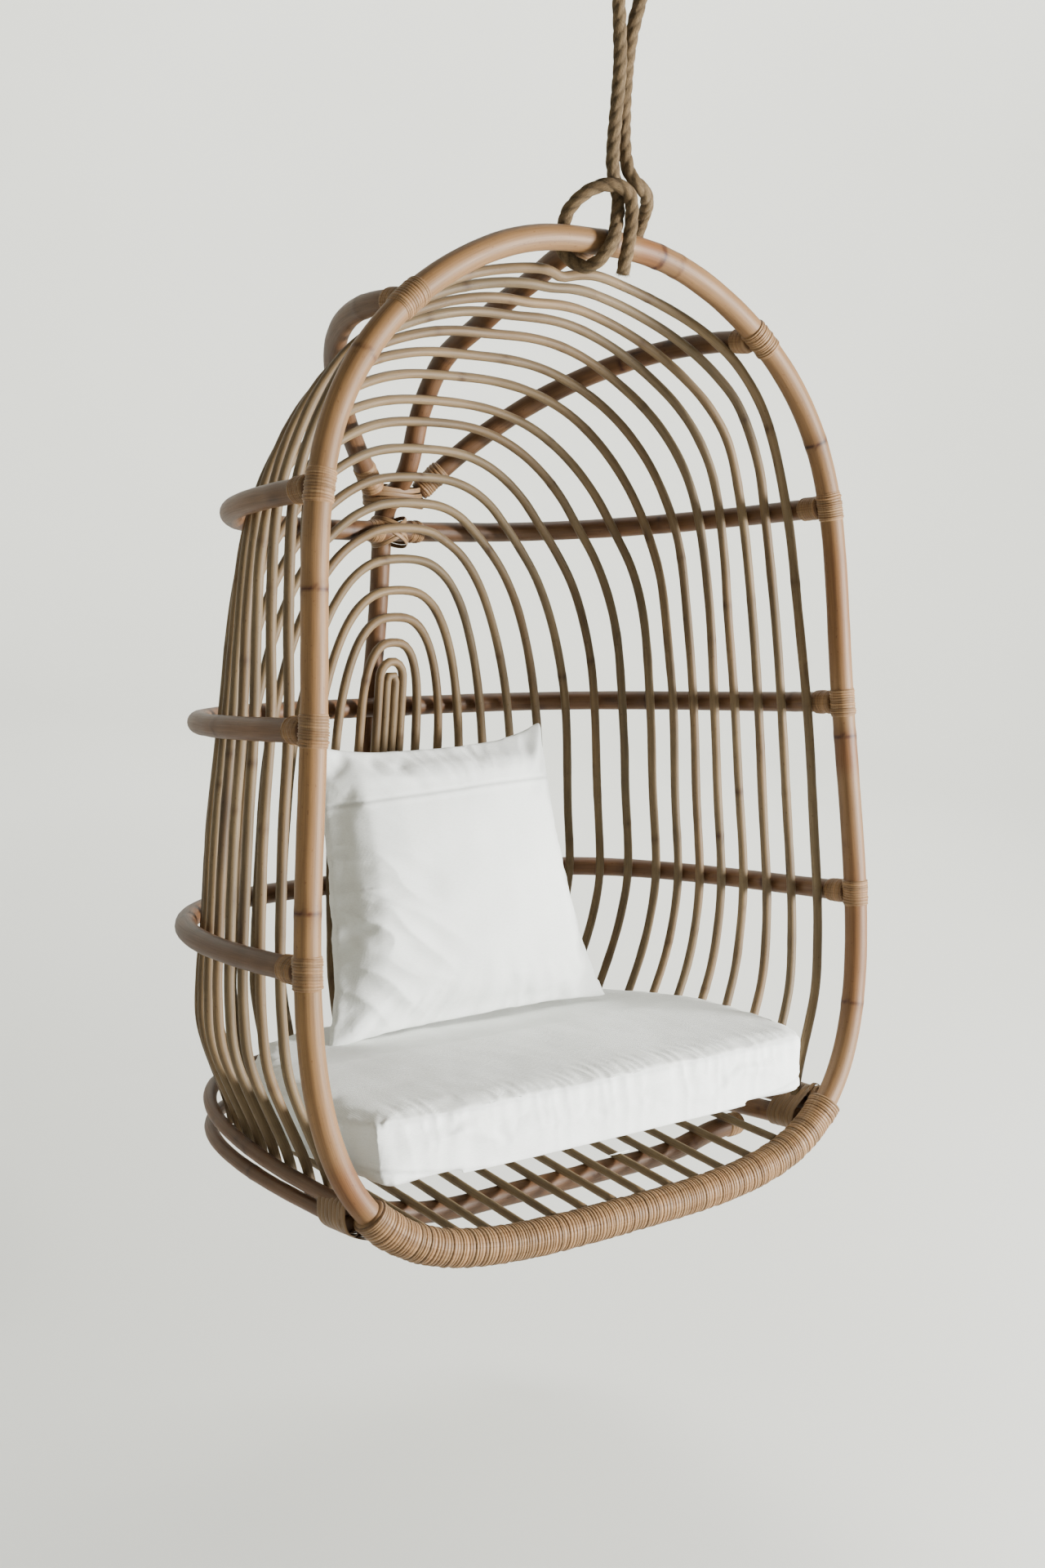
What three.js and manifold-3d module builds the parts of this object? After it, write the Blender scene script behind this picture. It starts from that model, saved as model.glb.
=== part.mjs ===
// A hanging egg chair: a cage of bent rattan on a rope, below a ceiling plate.
// Millimetres, +Z up. The origin is the centre of the ceiling plate's top face,
// the chair's opening faces -Y and +X is to the right of someone looking into it.
import * as THREE from 'three';
import { mergeVertices } from 'three/addons/utils/BufferGeometryUtils.js';
import Module from 'manifold-3d';

const wasm = await Module();
wasm.setup();

// ---------------------------------------------------------------- dimensions

const GAP = 0.4; // between neighbouring pieces

// hanging: how the chair sits under its ceiling plate
const HOOP_TOP_DROP = 465; // plate's top face down to the hoop's highest centre point
const HOOP_OFFSET_X = -12; // the rope grips the hoop a little to the right of its top
const LEAN_BACK = THREE.MathUtils.degToRad(12); // of the hoop, behind the plumb line

// pole and cane radii
const HOOP_RADIUS = 15.5;
const WRAP_RADIUS = 22.5;
const BAND_RADIUS = 14;
const RAIL_RADIUS = 9;
const CANE_RADIUS = 6.5;
const SLAT_RADIUS = 5.3;
const ROPE_RADIUS = 8.5;

// Everything below is in the chair's own frame: the hoop stands in the plane y = 0,
// its bottom rail's centre line at z = 0 and its highest centre point at z = HOOP_HEIGHT.
const HOOP_HEIGHT = 1200;
// Control points of the hoop's right half, a cubic B-spline, as [x, z].
const HOOP_CONTROLS = [
  [0, 0], [319, 0], [435, 148], [448, 374], [413, 670], [416, 941], [300, 1107], [122, 1200], [0, 1200],
];
const POLE_END_GAP = 0.5; // between the hoop pole's two ends, under the wrapping
const WRAP_TOP = 82; // height where the wrapping of the bottom rail ends, on both posts

// bands bent round the back: height at the hoop, depth, squareness, rise at the back
// (growing with a power of the way back, the sweep)
const BANDS = {
  upper_band: { z: 893, depth: 457, squareness: 2.65, rise: -8 },
  middle_band: { z: 628, depth: 508, squareness: 3.2, rise: 8 },
  lower_band: { z: 364, depth: 538, squareness: 3.25, rise: 18 },
};
const BASE_HALF_WIDTH = 384;
const BASE_RAILS = {
  base_rail_upper: { z: 85, depth: 522, squareness: 4.5, rise: 68, sweep: 1.5 },
  base_rail_lower: { z: 66, depth: 522, squareness: 4.5, rise: 43, sweep: 1.5 },
};

// The dome that the thin canes lie in, as level rings:
// [height, depth behind the hoop, squareness, rise from the hoop to the back]
const DOME = [
  [75, 504, 4.4, 62], [220, 516, 3.9, 36], [364, 514, 3.3, 16], [500, 505, 3.2, 8], [628, 485, 3.1, 2],
  [760, 465, 2.9, -9], [893, 436, 2.65, -20], [953, 404, 2.45, -6], [1020, 363, 2.25, 10],
  [1076, 315, 2.07, 9], [1120, 236, 1.95, -4], [1150, 179, 1.88, -13], [1172, 126, 1.82, -20],
  [1190, 68, 1.8, -25], [1200, 66, 1.8, -28],
];
const CANE_INSET = 22.5; // from the hoop's centre line in to the cane's
const FOOT_HALF_WIDTH = 362;
const FOOT_HEIGHT = 75;
const FOOT_ZONE = { top: 130, flare: 0.1 }; // below this height the feet stand wider than the hoop

// The arches, from the middle outwards: where each one's legs stand, as a share of the
// way round from the middle of the back to the hoop, and the height of its crown.
const LEG_SHARES = [
  0.027, 0.064, 0.116, 0.166, 0.222, 0.281, 0.337, 0.392, 0.45,
  0.506, 0.563, 0.61, 0.659, 0.709, 0.76, 0.817, 0.876, 0.938,
];
const CROWN_HEIGHTS = [
  706, 735, 775, 815, 863, 906, 932, 961, 990, 1018, 1043, 1075, 1103, 1131, 1154, 1169, 1184, 1197,
];
const LEG_HEIGHTS = [75, 105, 220, 290, 364, 500, 628, 760, 890]; // where a leg's path has a point
const HAIRPIN_SHARE = 0.0092;
const HAIRPIN_CROWN = 685;
const HALF_GIRTH = 756; // from the middle of the back round to the hoop, along the canes
const ROOF_NARROWING = 0.025; // share by which the legs draw together above the middle band
const LEG_SWEEP = 70; // how far the right-hand legs run in towards the back below the low band

// seat
const SLAT_COUNT = 13;
const SLAT_PITCH = 48;
const SLAT_END = 445;
const FRONT_BAR = { y: 127, halfLength: 330 };
const REAR_BAR = { y: 429, halfLength: 290 };
// Two short rails behind the corners, which the front cross bar runs between.
const SEAT_RAIL = { x: 350, z: 57, from: 27, to: 165 };

// ------------------------------------------------------------------ helpers

const RATTAN = { color: 0xc79a6b, roughness: 0.45, metalness: 0 };
const RATTAN_DARK = { color: 0x9a6b47, roughness: 0.5, metalness: 0 };
const CANE = { color: 0xb59c79, roughness: 0.55, metalness: 0 };
const PEEL = { color: 0xb98d62, roughness: 0.5, metalness: 0 };
const COTTON = { color: 0xf2f1ea, roughness: 0.9, metalness: 0 };
const JUTE = { color: 0x8f7557, roughness: 0.95, metalness: 0 };
const STEEL = { color: 0xb8babc, roughness: 0.35, metalness: 1 };
const PAINTED = { color: 0x2b2b2c, roughness: 0.45, metalness: 0.4 };

const root = new THREE.Group();
const lean = new THREE.Group();
lean.position.set(HOOP_OFFSET_X, 0, -HOOP_TOP_DROP);
lean.rotation.x = -LEAN_BACK;
const chair = new THREE.Group();
chair.position.z = -HOOP_HEIGHT;
lean.add(chair);
root.add(lean);

function addPart(group, name, geometry, finish) {
  const mesh = new THREE.Mesh(geometry, new THREE.MeshStandardMaterial(finish));
  mesh.name = name;
  group.add(mesh);
  return mesh;
}

function vec(x, y, z) {
  return new THREE.Vector3(x, y, z);
}

// A smooth curve whose tube gets its rings at the points themselves.
class StationCurve extends THREE.CatmullRomCurve3 {
  getPointAt(u) {
    return this.getPoint(u);
  }
  getTangentAt(u) {
    return this.getTangent(u);
  }
  getSpacedPoints(divisions) {
    return this.getPoints(divisions);
  }
}

function tube(points, radius, sides = 8, ringsPerPoint = 1) {
  const path = new StationCurve(points, false, 'centripetal');
  const section = new THREE.Shape().absarc(0, 0, radius, 0, 2 * Math.PI);
  const steps = (points.length - 1) * ringsPerPoint;
  // A circle gets two corners for each of its curveSegments.
  return new THREE.ExtrudeGeometry(section, {
    extrudePath: path, steps, curveSegments: sides / 2, bevelEnabled: false,
  });
}

function toSolid(geometry) {
  const bare = geometry.clone();
  bare.deleteAttribute('normal');
  bare.deleteAttribute('uv');
  const merged = mergeVertices(bare, 1e-3);
  return new wasm.Manifold(new wasm.Mesh({
    numProp: 3,
    vertProperties: merged.attributes.position.array,
    triVerts: Uint32Array.from(merged.index.array),
  }));
}

function toGeometry(solid) {
  const mesh = solid.getMesh();
  const geometry = new THREE.BufferGeometry();
  geometry.setAttribute('position', new THREE.BufferAttribute(mesh.vertProperties, 3));
  geometry.setIndex(new THREE.BufferAttribute(mesh.triVerts, 1));
  geometry.computeVertexNormals();
  return geometry;
}

// Straight-line interpolation in a table whose rows start with the height.
function interpolate(rows, height, column) {
  let i = 1;
  while (i < rows.length - 1 && rows[i][0] < height) i += 1;
  const [low, high] = [rows[i - 1], rows[i]];
  const share = THREE.MathUtils.clamp((height - low[0]) / (high[0] - low[0]), 0, 1);
  return THREE.MathUtils.lerp(low[column], high[column], share);
}

// --------------------------------------------------------------------- hoop

// A point of the hoop's right half; u runs from 0 at the bottom to 1 at the top.
function hoopPoint(u) {
  const last = HOOP_CONTROLS.length - 1;
  const control = (i) => {
    if (i < 0) return [-HOOP_CONTROLS[-i][0], HOOP_CONTROLS[-i][1]];
    if (i > last) return [-HOOP_CONTROLS[2 * last - i][0], HOOP_CONTROLS[2 * last - i][1]];
    return HOOP_CONTROLS[i];
  };
  const span = Math.min(Math.floor(u * last), last - 1);
  const t = u * last - span;
  const weights = [(1 - t) ** 3, 3 * t ** 3 - 6 * t ** 2 + 4, -3 * t ** 3 + 3 * t ** 2 + 3 * t + 1, t ** 3];
  const point = [0, 1].map((axis) => weights.reduce(
    (sum, weight, k) => sum + (weight * control(span + k - 1)[axis]) / 6, 0));
  return vec(point[0], 0, point[1]);
}

const HOOP_STATIONS = Array.from({ length: 241 }, (_, i) => hoopPoint(i / 240));

// Half the hoop's width at a height above its bottom rail.
function hoopHalfWidth(height) {
  const i = HOOP_STATIONS.findIndex((point) => point.z >= height);
  if (i < 1) return height <= 0 ? HOOP_STATIONS[0].x : 0;
  const [low, high] = [HOOP_STATIONS[i - 1], HOOP_STATIONS[i]];
  return THREE.MathUtils.lerp(low.x, high.x, (height - low.z) / Math.max(high.z - low.z, 1e-6));
}

// One pole, bent into the whole opening; its ends meet in the middle of the bottom rail.
function hoopPath() {
  const steps = 32;
  const right = Array.from({ length: steps + 1 }, (_, i) => hoopPoint(i / steps));
  const left = right.slice(0, -1).reverse().map((point) => vec(-point.x, 0, point.z));
  right[0].x = POLE_END_GAP / 2;
  left[left.length - 1].x = -POLE_END_GAP / 2;
  return right.concat(left);
}

function makeHoop() {
  const points = hoopPath();
  addPart(chair, 'front_hoop', tube(points, HOOP_RADIUS, 10), RATTAN);
  const wrapped = points.filter((point) => point.z <= WRAP_TOP && point.x > 0);
  const across = wrapped.slice().reverse().concat(wrapped.map((point) => vec(-point.x, 0, point.z)));
  across.splice(wrapped.length - 1, 2, vec(0, 0, 0));
  const sleeve = toSolid(tube(across, WRAP_RADIUS, 10));
  const beyond = wrapped.length + 3;
  const bore = toSolid(tube([...points.slice(-beyond), ...points.slice(0, beyond)], HOOP_RADIUS + GAP, 10));
  addPart(chair, 'front_rail_wrap', toGeometry(sleeve.subtract(bore)), PEEL);
}

// -------------------------------------------------------- bands and base rails

// A level superellipse from one post round the back to the other.
function bandPath({ z, depth, squareness, rise, sweep = 2 }, halfWidth, start, steps = 28) {
  const firstAngle = Math.asin((start / depth) ** (squareness / 2));
  return Array.from({ length: steps + 1 }, (_, i) => {
    const angle = THREE.MathUtils.lerp(firstAngle, Math.PI - firstAngle, i / steps);
    const side = Math.sign(Math.cos(angle)) * Math.abs(Math.cos(angle)) ** (2 / squareness);
    const back = Math.sin(angle) ** (2 / squareness);
    return vec(halfWidth * side, depth * back, z + rise * back ** sweep);
  });
}

function makeBands() {
  for (const [name, band] of Object.entries(BANDS)) {
    const path = bandPath(band, hoopHalfWidth(band.z), HOOP_RADIUS + GAP);
    addPart(chair, name, tube(path, BAND_RADIUS), RATTAN_DARK);
  }
  for (const [name, rail] of Object.entries(BASE_RAILS)) {
    const path = bandPath(rail, BASE_HALF_WIDTH, HOOP_RADIUS + RAIL_RADIUS, 32);
    addPart(chair, name, tube(path, RAIL_RADIUS), RATTAN_DARK);
  }
}

// --------------------------------------------------------------- dome of canes

// The point of the dome at a ring's height and a share of the way from the middle of the
// back (0) round to the hoop (1, or -1 on the left).
function domePoint(height, share) {
  const footWidth = FOOT_HALF_WIDTH + FOOT_ZONE.flare * (height - FOOT_HEIGHT);
  const hoopWidth = hoopHalfWidth(height) - CANE_INSET;
  const halfWidth = height < FOOT_ZONE.top ? Math.max(hoopWidth, footWidth) : hoopWidth;
  const depth = interpolate(DOME, height, 1);
  const squareness = interpolate(DOME, height, 2);
  const rise = interpolate(DOME, height, 3);
  const samples = 60;
  const ring = Array.from({ length: samples + 1 }, (_, i) => {
    const angle = (i / samples) * (Math.PI / 2);
    return [halfWidth * Math.sin(angle) ** (2 / squareness), depth * Math.cos(angle) ** (2 / squareness)];
  });
  const lengths = [0];
  for (let i = 1; i <= samples; i += 1) {
    lengths.push(lengths[i - 1] + Math.hypot(ring[i][0] - ring[i - 1][0], ring[i][1] - ring[i - 1][1]));
  }
  const wanted = Math.abs(share) * lengths[samples];
  let i = 1;
  while (i < samples && lengths[i] < wanted) i += 1;
  const along = (wanted - lengths[i - 1]) / (lengths[i] - lengths[i - 1]);
  const x = THREE.MathUtils.lerp(ring[i - 1][0], ring[i][0], along);
  const y = THREE.MathUtils.lerp(ring[i - 1][1], ring[i][1], along);
  return vec(x * Math.sign(share), y, height + rise * (y / depth) ** 2);
}

// How far a right-hand leg runs in towards the back at a height, as a share of the girth.
function sweptIn(height, share) {
  const low = BANDS.lower_band.z;
  const upFromFoot = THREE.MathUtils.clamp((height - FOOT_HEIGHT) / (low - FOOT_HEIGHT), 0, 1);
  const acrossLegs = THREE.MathUtils.clamp((share - 0.05) / 0.83, 0, 1);
  return (LEG_SWEEP / HALF_GIRTH) * Math.sin(Math.PI * acrossLegs) * (1 - upFromFoot) ** 1.3;
}

// One cane: up a leg, over a squarish arch and down the other leg.
function archPath(share, crown, curveSteps) {
  const halfSpan = share * HALF_GIRTH;
  const narrow = halfSpan < 25;
  const archHeight = narrow ? 1.2 * halfSpan : Math.min(3 * halfSpan, 560 - 7.6e-4 * halfSpan ** 2);
  const [across, upward] = narrow ? [1, 1] : [2 / 2.73, 2 / 3];
  const spring = crown - archHeight;
  const roofShare = (height) => THREE.MathUtils.clamp(
    (height - BANDS.middle_band.z) / (BANDS.upper_band.z - BANDS.middle_band.z), 0, 1);
  const drawnIn = (height) => 1 - ROOF_NARROWING * roofShare(height);
  const leg = LEG_HEIGHTS.filter((height) => height < spring - 35);
  const half = (side) => {
    const points = leg.map((height) => {
      const swept = side > 0 ? sweptIn(height, share) : 0;
      return domePoint(height, side * (share * drawnIn(height) - swept));
    });
    for (let i = 0; i < curveSteps; i += 1) {
      const angle = (Math.PI / 2) * (i / curveSteps) ** 0.9;
      const height = spring + archHeight * Math.sin(angle) ** upward;
      points.push(domePoint(height, side * share * drawnIn(height) * Math.cos(angle) ** across));
    }
    return points;
  };
  return [...half(1), domePoint(crown, 0), ...half(-1).reverse()];
}

function makeArches() {
  addPart(chair, 'hairpin_cane', tube(archPath(HAIRPIN_SHARE, HAIRPIN_CROWN, 4), CANE_RADIUS, 6), CANE);
  LEG_SHARES.forEach((share, i) => {
    const name = `arch_cane_${String(i + 1).padStart(2, '0')}`;
    const curveSteps = i < 5 ? 7 : 10;
    addPart(chair, name, tube(archPath(share, CROWN_HEIGHTS[i], curveSteps), CANE_RADIUS, 6), CANE);
  });
}

// ------------------------------------------------------------- spine and ribs

// The spine lies on the outside of the canes on the roof, and outside the bands below.
function spinePath() {
  const touching = [1172, 1150, 1120, 1076, 1020, 960].map((height) => {
    const [here, above] = [domePoint(height, 0), domePoint(height + 4, 0)];
    const outward = vec(0, here.z - above.z, above.y - here.y).normalize().multiplyScalar(-1);
    return here.clone().addScaledVector(outward, CANE_RADIUS + BAND_RADIUS + 2.4).setX(0);
  });
  return [
    vec(0, HOOP_RADIUS + GAP + 0.4, HOOP_HEIGHT - 1), vec(0, 70, 1194), ...touching,
    vec(0, 478, 914), vec(0, 490, 872), vec(0, 504, 784), vec(0, 522, 700), vec(0, 539, 636),
    vec(0, 560, 500), vec(0, 568, 382), vec(0, 562, 250), vec(0, 549, 140), vec(0, 547, 80),
  ];
}

function makeSpineAndRibs() {
  addPart(chair, 'spine', tube(spinePath(), BAND_RADIUS), RATTAN_DARK);
  for (const [name, side] of [['left_rib', -1], ['right_rib', 1]]) {
    const path = new THREE.CubicBezierCurve3(
      vec(side * 274, HOOP_RADIUS + 2.5, 1106), vec(side * 286, 160, 1132),
      vec(side * 186, 362, 1108), vec(side * 38, 447, 941));
    addPart(chair, name, tube(path.getPoints(14), BAND_RADIUS), RATTAN_DARK);
  }
}

// --------------------------------------------------------------------- seat

// How far the seat curls up towards its sides.
function dish(x) {
  return 27 * (Math.max(Math.abs(x) - 150, 0) / 138) ** 2;
}

function slatHeight(x, y) {
  return 16 + 0.17 * y + dish(x) * (1 - y / 480);
}

// A bar follows the underside of the slats, and runs level beyond the outermost ones.
function barPath({ y, halfLength }) {
  const steps = 12;
  const drop = SLAT_RADIUS + BAND_RADIUS + 1.4;
  const outermost = (SLAT_PITCH * (SLAT_COUNT - 1)) / 2;
  return Array.from({ length: steps + 1 }, (_, i) => {
    const x = halfLength * ((2 * i) / steps - 1);
    return vec(x, y, slatHeight(Math.min(Math.abs(x), outermost), y) - drop);
  });
}

// Height of the hoop's bottom rail at a distance from its middle.
function railHeight(x) {
  return HOOP_STATIONS.find((point) => point.x >= Math.abs(x)).z;
}

// Each slat starts where it meets the back or the top of the wrapped rail.
function slatStart(x) {
  const reach = WRAP_RADIUS + SLAT_RADIUS + 2 * GAP;
  const above = Math.min(slatHeight(x, 0) - railHeight(x), reach);
  return Math.max(Math.sqrt(reach ** 2 - above ** 2), 8);
}

function makeSeat() {
  for (let i = 0; i < SLAT_COUNT; i += 1) {
    const x = SLAT_PITCH * (i - (SLAT_COUNT - 1) / 2);
    const ends = [slatStart(x), SLAT_END].map((y) => vec(x, y, slatHeight(x, y)));
    addPart(chair, `slat_${String(i + 1).padStart(2, '0')}`, tube(ends, SLAT_RADIUS, 6), CANE);
  }
  addPart(chair, 'front_cross_bar', tube(barPath(FRONT_BAR), BAND_RADIUS), RATTAN_DARK);
  addPart(chair, 'rear_cross_bar', tube(barPath(REAR_BAR), BAND_RADIUS), RATTAN_DARK);
  for (const [name, side] of [['left_seat_rail', -1], ['right_seat_rail', 1]]) {
    const ends = [SEAT_RAIL.from, SEAT_RAIL.to].map((y) => vec(side * SEAT_RAIL.x, y, SEAT_RAIL.z));
    addPart(chair, name, tube(ends, BAND_RADIUS), RATTAN_DARK);
  }
}

// ----------------------------------------------------------- cushion and pillow

const CUSHION = {
  depth: 458, base: 350, // half the width of its underside
  bottom: 74, bottomRise: 30, cornerLift: 30, // at the front, to the back, at the front corners
  top: 176, topRise: 21, backLift: 17, // at the front, to the back, more at the back's sides
};
// Right half of the cushion's top outline, from the middle of the front, as [x, y].
const CUSHION_OUTLINE = [
  [0, 2], [180, 3], [336, 6], [353, 15], [375, 66], [384, 110], [379, 230], [344, 316], [286, 396],
  [210, 442], [0, 456],
];

function makeCushion() {
  const right = CUSHION_OUTLINE.map(([x, y]) => new THREE.Vector2(x, y));
  const left = right.slice(1, -1).reverse().map((point) => new THREE.Vector2(-point.x, point.y));
  const geometry = new THREE.ExtrudeGeometry(new THREE.Shape(right.concat(left)), {
    depth: 1, steps: 1, bevelEnabled: false,
  });
  const position = geometry.attributes.position;
  for (let i = 0; i < position.count; i += 1) {
    const [x, y, level] = [position.getX(i), position.getY(i), position.getZ(i)];
    const [aside, back] = [Math.min(Math.abs(x) / CUSHION.base, 1), y / CUSHION.depth];
    const lift = CUSHION.cornerLift * aside ** 3 * (1 - back);
    const bottom = CUSHION.bottom + CUSHION.bottomRise * back + lift;
    const top = CUSHION.top + (CUSHION.topRise + CUSHION.backLift * aside ** 2) * back;
    if (level > 0.5) position.setZ(i, top);
    else position.setXYZ(i, THREE.MathUtils.clamp(x, -CUSHION.base, CUSHION.base), y, bottom);
  }
  geometry.computeVertexNormals();
  addPart(chair, 'seat_cushion', geometry, COTTON);
}

const PILLOW_WIDTH = 432; // half way up
const PILLOW_TAPER = 0.08; // how much wider it is at the bottom, and narrower at the top, as a share
const PILLOW_HEIGHT = 410;
const PILLOW_HALF_THICKNESS = 62;
const PILLOW_HOLLOW = 0.05; // how far each side draws in at its middle, as a share
const PILLOW_EDGE = 5; // half the thickness of its sewn edge

function makePillow() {
  const divisions = 8;
  const geometry = new THREE.BoxGeometry(PILLOW_WIDTH, 2, PILLOW_HEIGHT, divisions, 1, divisions);
  const position = geometry.attributes.position;
  for (let i = 0; i < position.count; i += 1) {
    const [x, y, z] = [position.getX(i), position.getY(i), position.getZ(i)];
    const [u, v] = [(2 * x) / PILLOW_WIDTH, (2 * z) / PILLOW_HEIGHT];
    const fullness = Math.sqrt(Math.max(1 - u ** 2, 0) * Math.max(1 - v ** 2, 0));
    const halfThickness = PILLOW_EDGE + PILLOW_HALF_THICKNESS * fullness;
    const [pullX, pullZ] = [v, u].map((along) => 1 - PILLOW_HOLLOW * (1 - along ** 2));
    const taper = 1 - PILLOW_TAPER * v;
    position.setXYZ(i, x * pullX * taper, Math.sign(y) * halfThickness, z * pullZ);
  }
  geometry.computeVertexNormals();
  const pillow = addPart(chair, 'pillow', geometry, COTTON);
  pillow.position.set(6, 355, 407);
  pillow.rotation.set(THREE.MathUtils.degToRad(-10), THREE.MathUtils.degToRad(-1),
    THREE.MathUtils.degToRad(-2));
}

// --------------------------------------------------------------------- rope

// The rope's centre line from one bare end to the other, as offsets from the top of the
// hoop's centre line: up from behind the hoop, over the hook, down the front, round
// under the hoop and up behind it, across both standing parts and down to the other end.
const ROPE_ROUTE = [
  [61, 32, -3], [80, 25, 6], [84, 20, 27], [79, 8, 42], [68, -7, 53], [51, -20, 64], [35, -22, 72],
  [29, -15, 82], [27, -2, 113], [22, 3, 206], [24, 2, 245], [32, 1, 298], [26, 0, 316], [12, 0, 322],
  [-2, 0, 316], [-8, -1, 298], [0, -2, 245], [5, -4, 203], [7, -7, 93], [16, -5, 69], [21, -7, 54],
  [19, -12, 37], [13, -19, 20], [5, -26, 4], [-2, -24, -11], [-7, -13, -25], [-13, 2, -31],
  [-21, 15, -26], [-29, 25, -15], [-33, 28, 0], [-33, 24, 15], [-35, 18, 28], [-33, 8, 41],
  [-25, -1, 53], [-11, -10, 63], [3, -18, 66], [16, -24, 63], [25, -26, 54], [27, -30, 20],
  [21, -31, -35],
];

function makeRope() {
  const points = ROPE_ROUTE.map(([x, y, z]) => vec(x + HOOP_OFFSET_X, y, z - HOOP_TOP_DROP));
  addPart(root, 'rope', tube(points, ROPE_RADIUS, 8, 2), JUTE);
}

// ------------------------------------------------------------------- fittings

const PLATE_RADIUS = 48;
const PLATE_THICKNESS = 6;
const SCREW_CIRCLE = 34;
const SCREW_RADIUS = 2.5;
const HOUSING_HEIGHT = 30;
const HOUSING_RADIUS = 21;
const SWIVEL_HEAD_RADIUS = 13;
const STEM_RADIUS = 6;
const WIRE_RADIUS = 5;
const EYE_RADIUS = 15;
const HOOK_END_RADIUS = 16;
const HOOK_STRAIGHT = 60.5;
const EYE_BOTTOM = -75; // centre of the eye's wire at its lowest point
const HOOK_TOP = EYE_BOTTOM + 2 * WIRE_RADIUS + GAP; // centre of the hook's wire at its top

// A ring section turned about the Z axis; profile points are [radius, z].
function turned(profile, segments = 20) {
  const points = profile.map(([radius, z]) => new THREE.Vector2(radius, z));
  return new THREE.LatheGeometry(points, segments).rotateX(Math.PI / 2);
}

function makePlateAndScrews() {
  const outline = new THREE.Shape().absarc(0, 0, PLATE_RADIUS, 0, 2 * Math.PI);
  const places = [1, 3, 5, 7].map((eighth) => {
    const angle = (eighth * Math.PI) / 4;
    return new THREE.Vector2(SCREW_CIRCLE * Math.cos(angle), SCREW_CIRCLE * Math.sin(angle));
  });
  for (const place of places) {
    outline.holes.push(new THREE.Path().absarc(place.x, place.y, SCREW_RADIUS + GAP, 0, 2 * Math.PI, true));
  }
  const plate = new THREE.ExtrudeGeometry(outline, {
    depth: PLATE_THICKNESS, curveSegments: 10, bevelEnabled: false,
  });
  addPart(root, 'ceiling_plate', plate.translate(0, 0, -PLATE_THICKNESS), PAINTED);
  const under = -PLATE_THICKNESS - GAP;
  const screwProfile = [
    [0, under - 3.5], [3, under - 3.2], [5, under - 1.5], [5, under], [SCREW_RADIUS, under],
    [SCREW_RADIUS, -GAP], [0, -GAP],
  ];
  places.forEach((place, i) => {
    const screw = addPart(root, `ceiling_screw_${i + 1}`, turned(screwProfile, 10), STEEL);
    screw.position.set(place.x, place.y, 0);
  });
}

function makeSwivel() {
  const top = -PLATE_THICKNESS - GAP;
  const bottom = top - HOUSING_HEIGHT;
  const housing = [
    [SWIVEL_HEAD_RADIUS + 2, top], [SWIVEL_HEAD_RADIUS + 2, bottom + 6], [STEM_RADIUS + 1, bottom + 6],
    [STEM_RADIUS + 1, bottom], [HOUSING_RADIUS - 5, bottom], [HOUSING_RADIUS, bottom + 5],
    [HOUSING_RADIUS, top], [SWIVEL_HEAD_RADIUS + 2, top],
  ];
  addPart(root, 'swivel_housing', turned(housing), PAINTED);
  const seat = bottom + 6 + GAP;
  const eyeCentre = EYE_BOTTOM + EYE_RADIUS;
  const stem = [
    [0, eyeCentre + EYE_RADIUS], [STEM_RADIUS, eyeCentre + EYE_RADIUS], [STEM_RADIUS, seat],
    [SWIVEL_HEAD_RADIUS, seat], [SWIVEL_HEAD_RADIUS, seat + 9], [0, seat + 9],
  ];
  const ring = new THREE.TorusGeometry(EYE_RADIUS, WIRE_RADIUS, 8, 20).rotateX(Math.PI / 2);
  const eye = toSolid(turned(stem)).add(toSolid(ring.translate(0, 0, eyeCentre)));
  addPart(root, 'swivel_eye', toGeometry(eye), STEEL);
}

// The hook is a long link in the plane x = 0, open at the front where its gate closes it.
const GATE_TOP = HOOK_TOP - HOOK_END_RADIUS - 6;
const GATE_LENGTH = 32;
const GATE_RADIUS = WIRE_RADIUS - 0.8;

function makeHook() {
  const upper = HOOK_TOP - HOOK_END_RADIUS;
  const lower = upper - HOOK_STRAIGHT;
  const arc = (centre, from, to) => Array.from({ length: 9 }, (_, i) => {
    const angle = THREE.MathUtils.lerp(from, to, i / 8);
    return vec(0, HOOK_END_RADIUS * Math.cos(angle), centre + HOOK_END_RADIUS * Math.sin(angle));
  });
  const path = [
    vec(0, -HOOK_END_RADIUS, GATE_TOP + GAP), ...arc(upper, Math.PI, 0), ...arc(lower, 0, -Math.PI),
    vec(0, -HOOK_END_RADIUS, GATE_TOP - GATE_LENGTH - GAP),
  ];
  addPart(root, 'snap_hook', tube(path, WIRE_RADIUS, 8), STEEL);
  // Its ends are round, so it turns about the middle of the upper one without fouling.
  const gate = new THREE.CapsuleGeometry(GATE_RADIUS, GATE_LENGTH - 2 * GATE_RADIUS, 4, 10);
  gate.rotateX(Math.PI / 2);
  const gateMesh = addPart(root, 'hook_gate', gate, STEEL);
  gateMesh.position.set(0, -HOOK_END_RADIUS, GATE_TOP - GATE_LENGTH / 2);
}

makePlateAndScrews();
makeSwivel();
makeHook();
makeRope();
makeHoop();
makeBands();
makeArches();
makeSpineAndRibs();
makeSeat();
makeCushion();
makePillow();

export default root;
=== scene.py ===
import math

import bpy
import numpy as np
from mathutils import Matrix, Vector, noise


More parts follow.
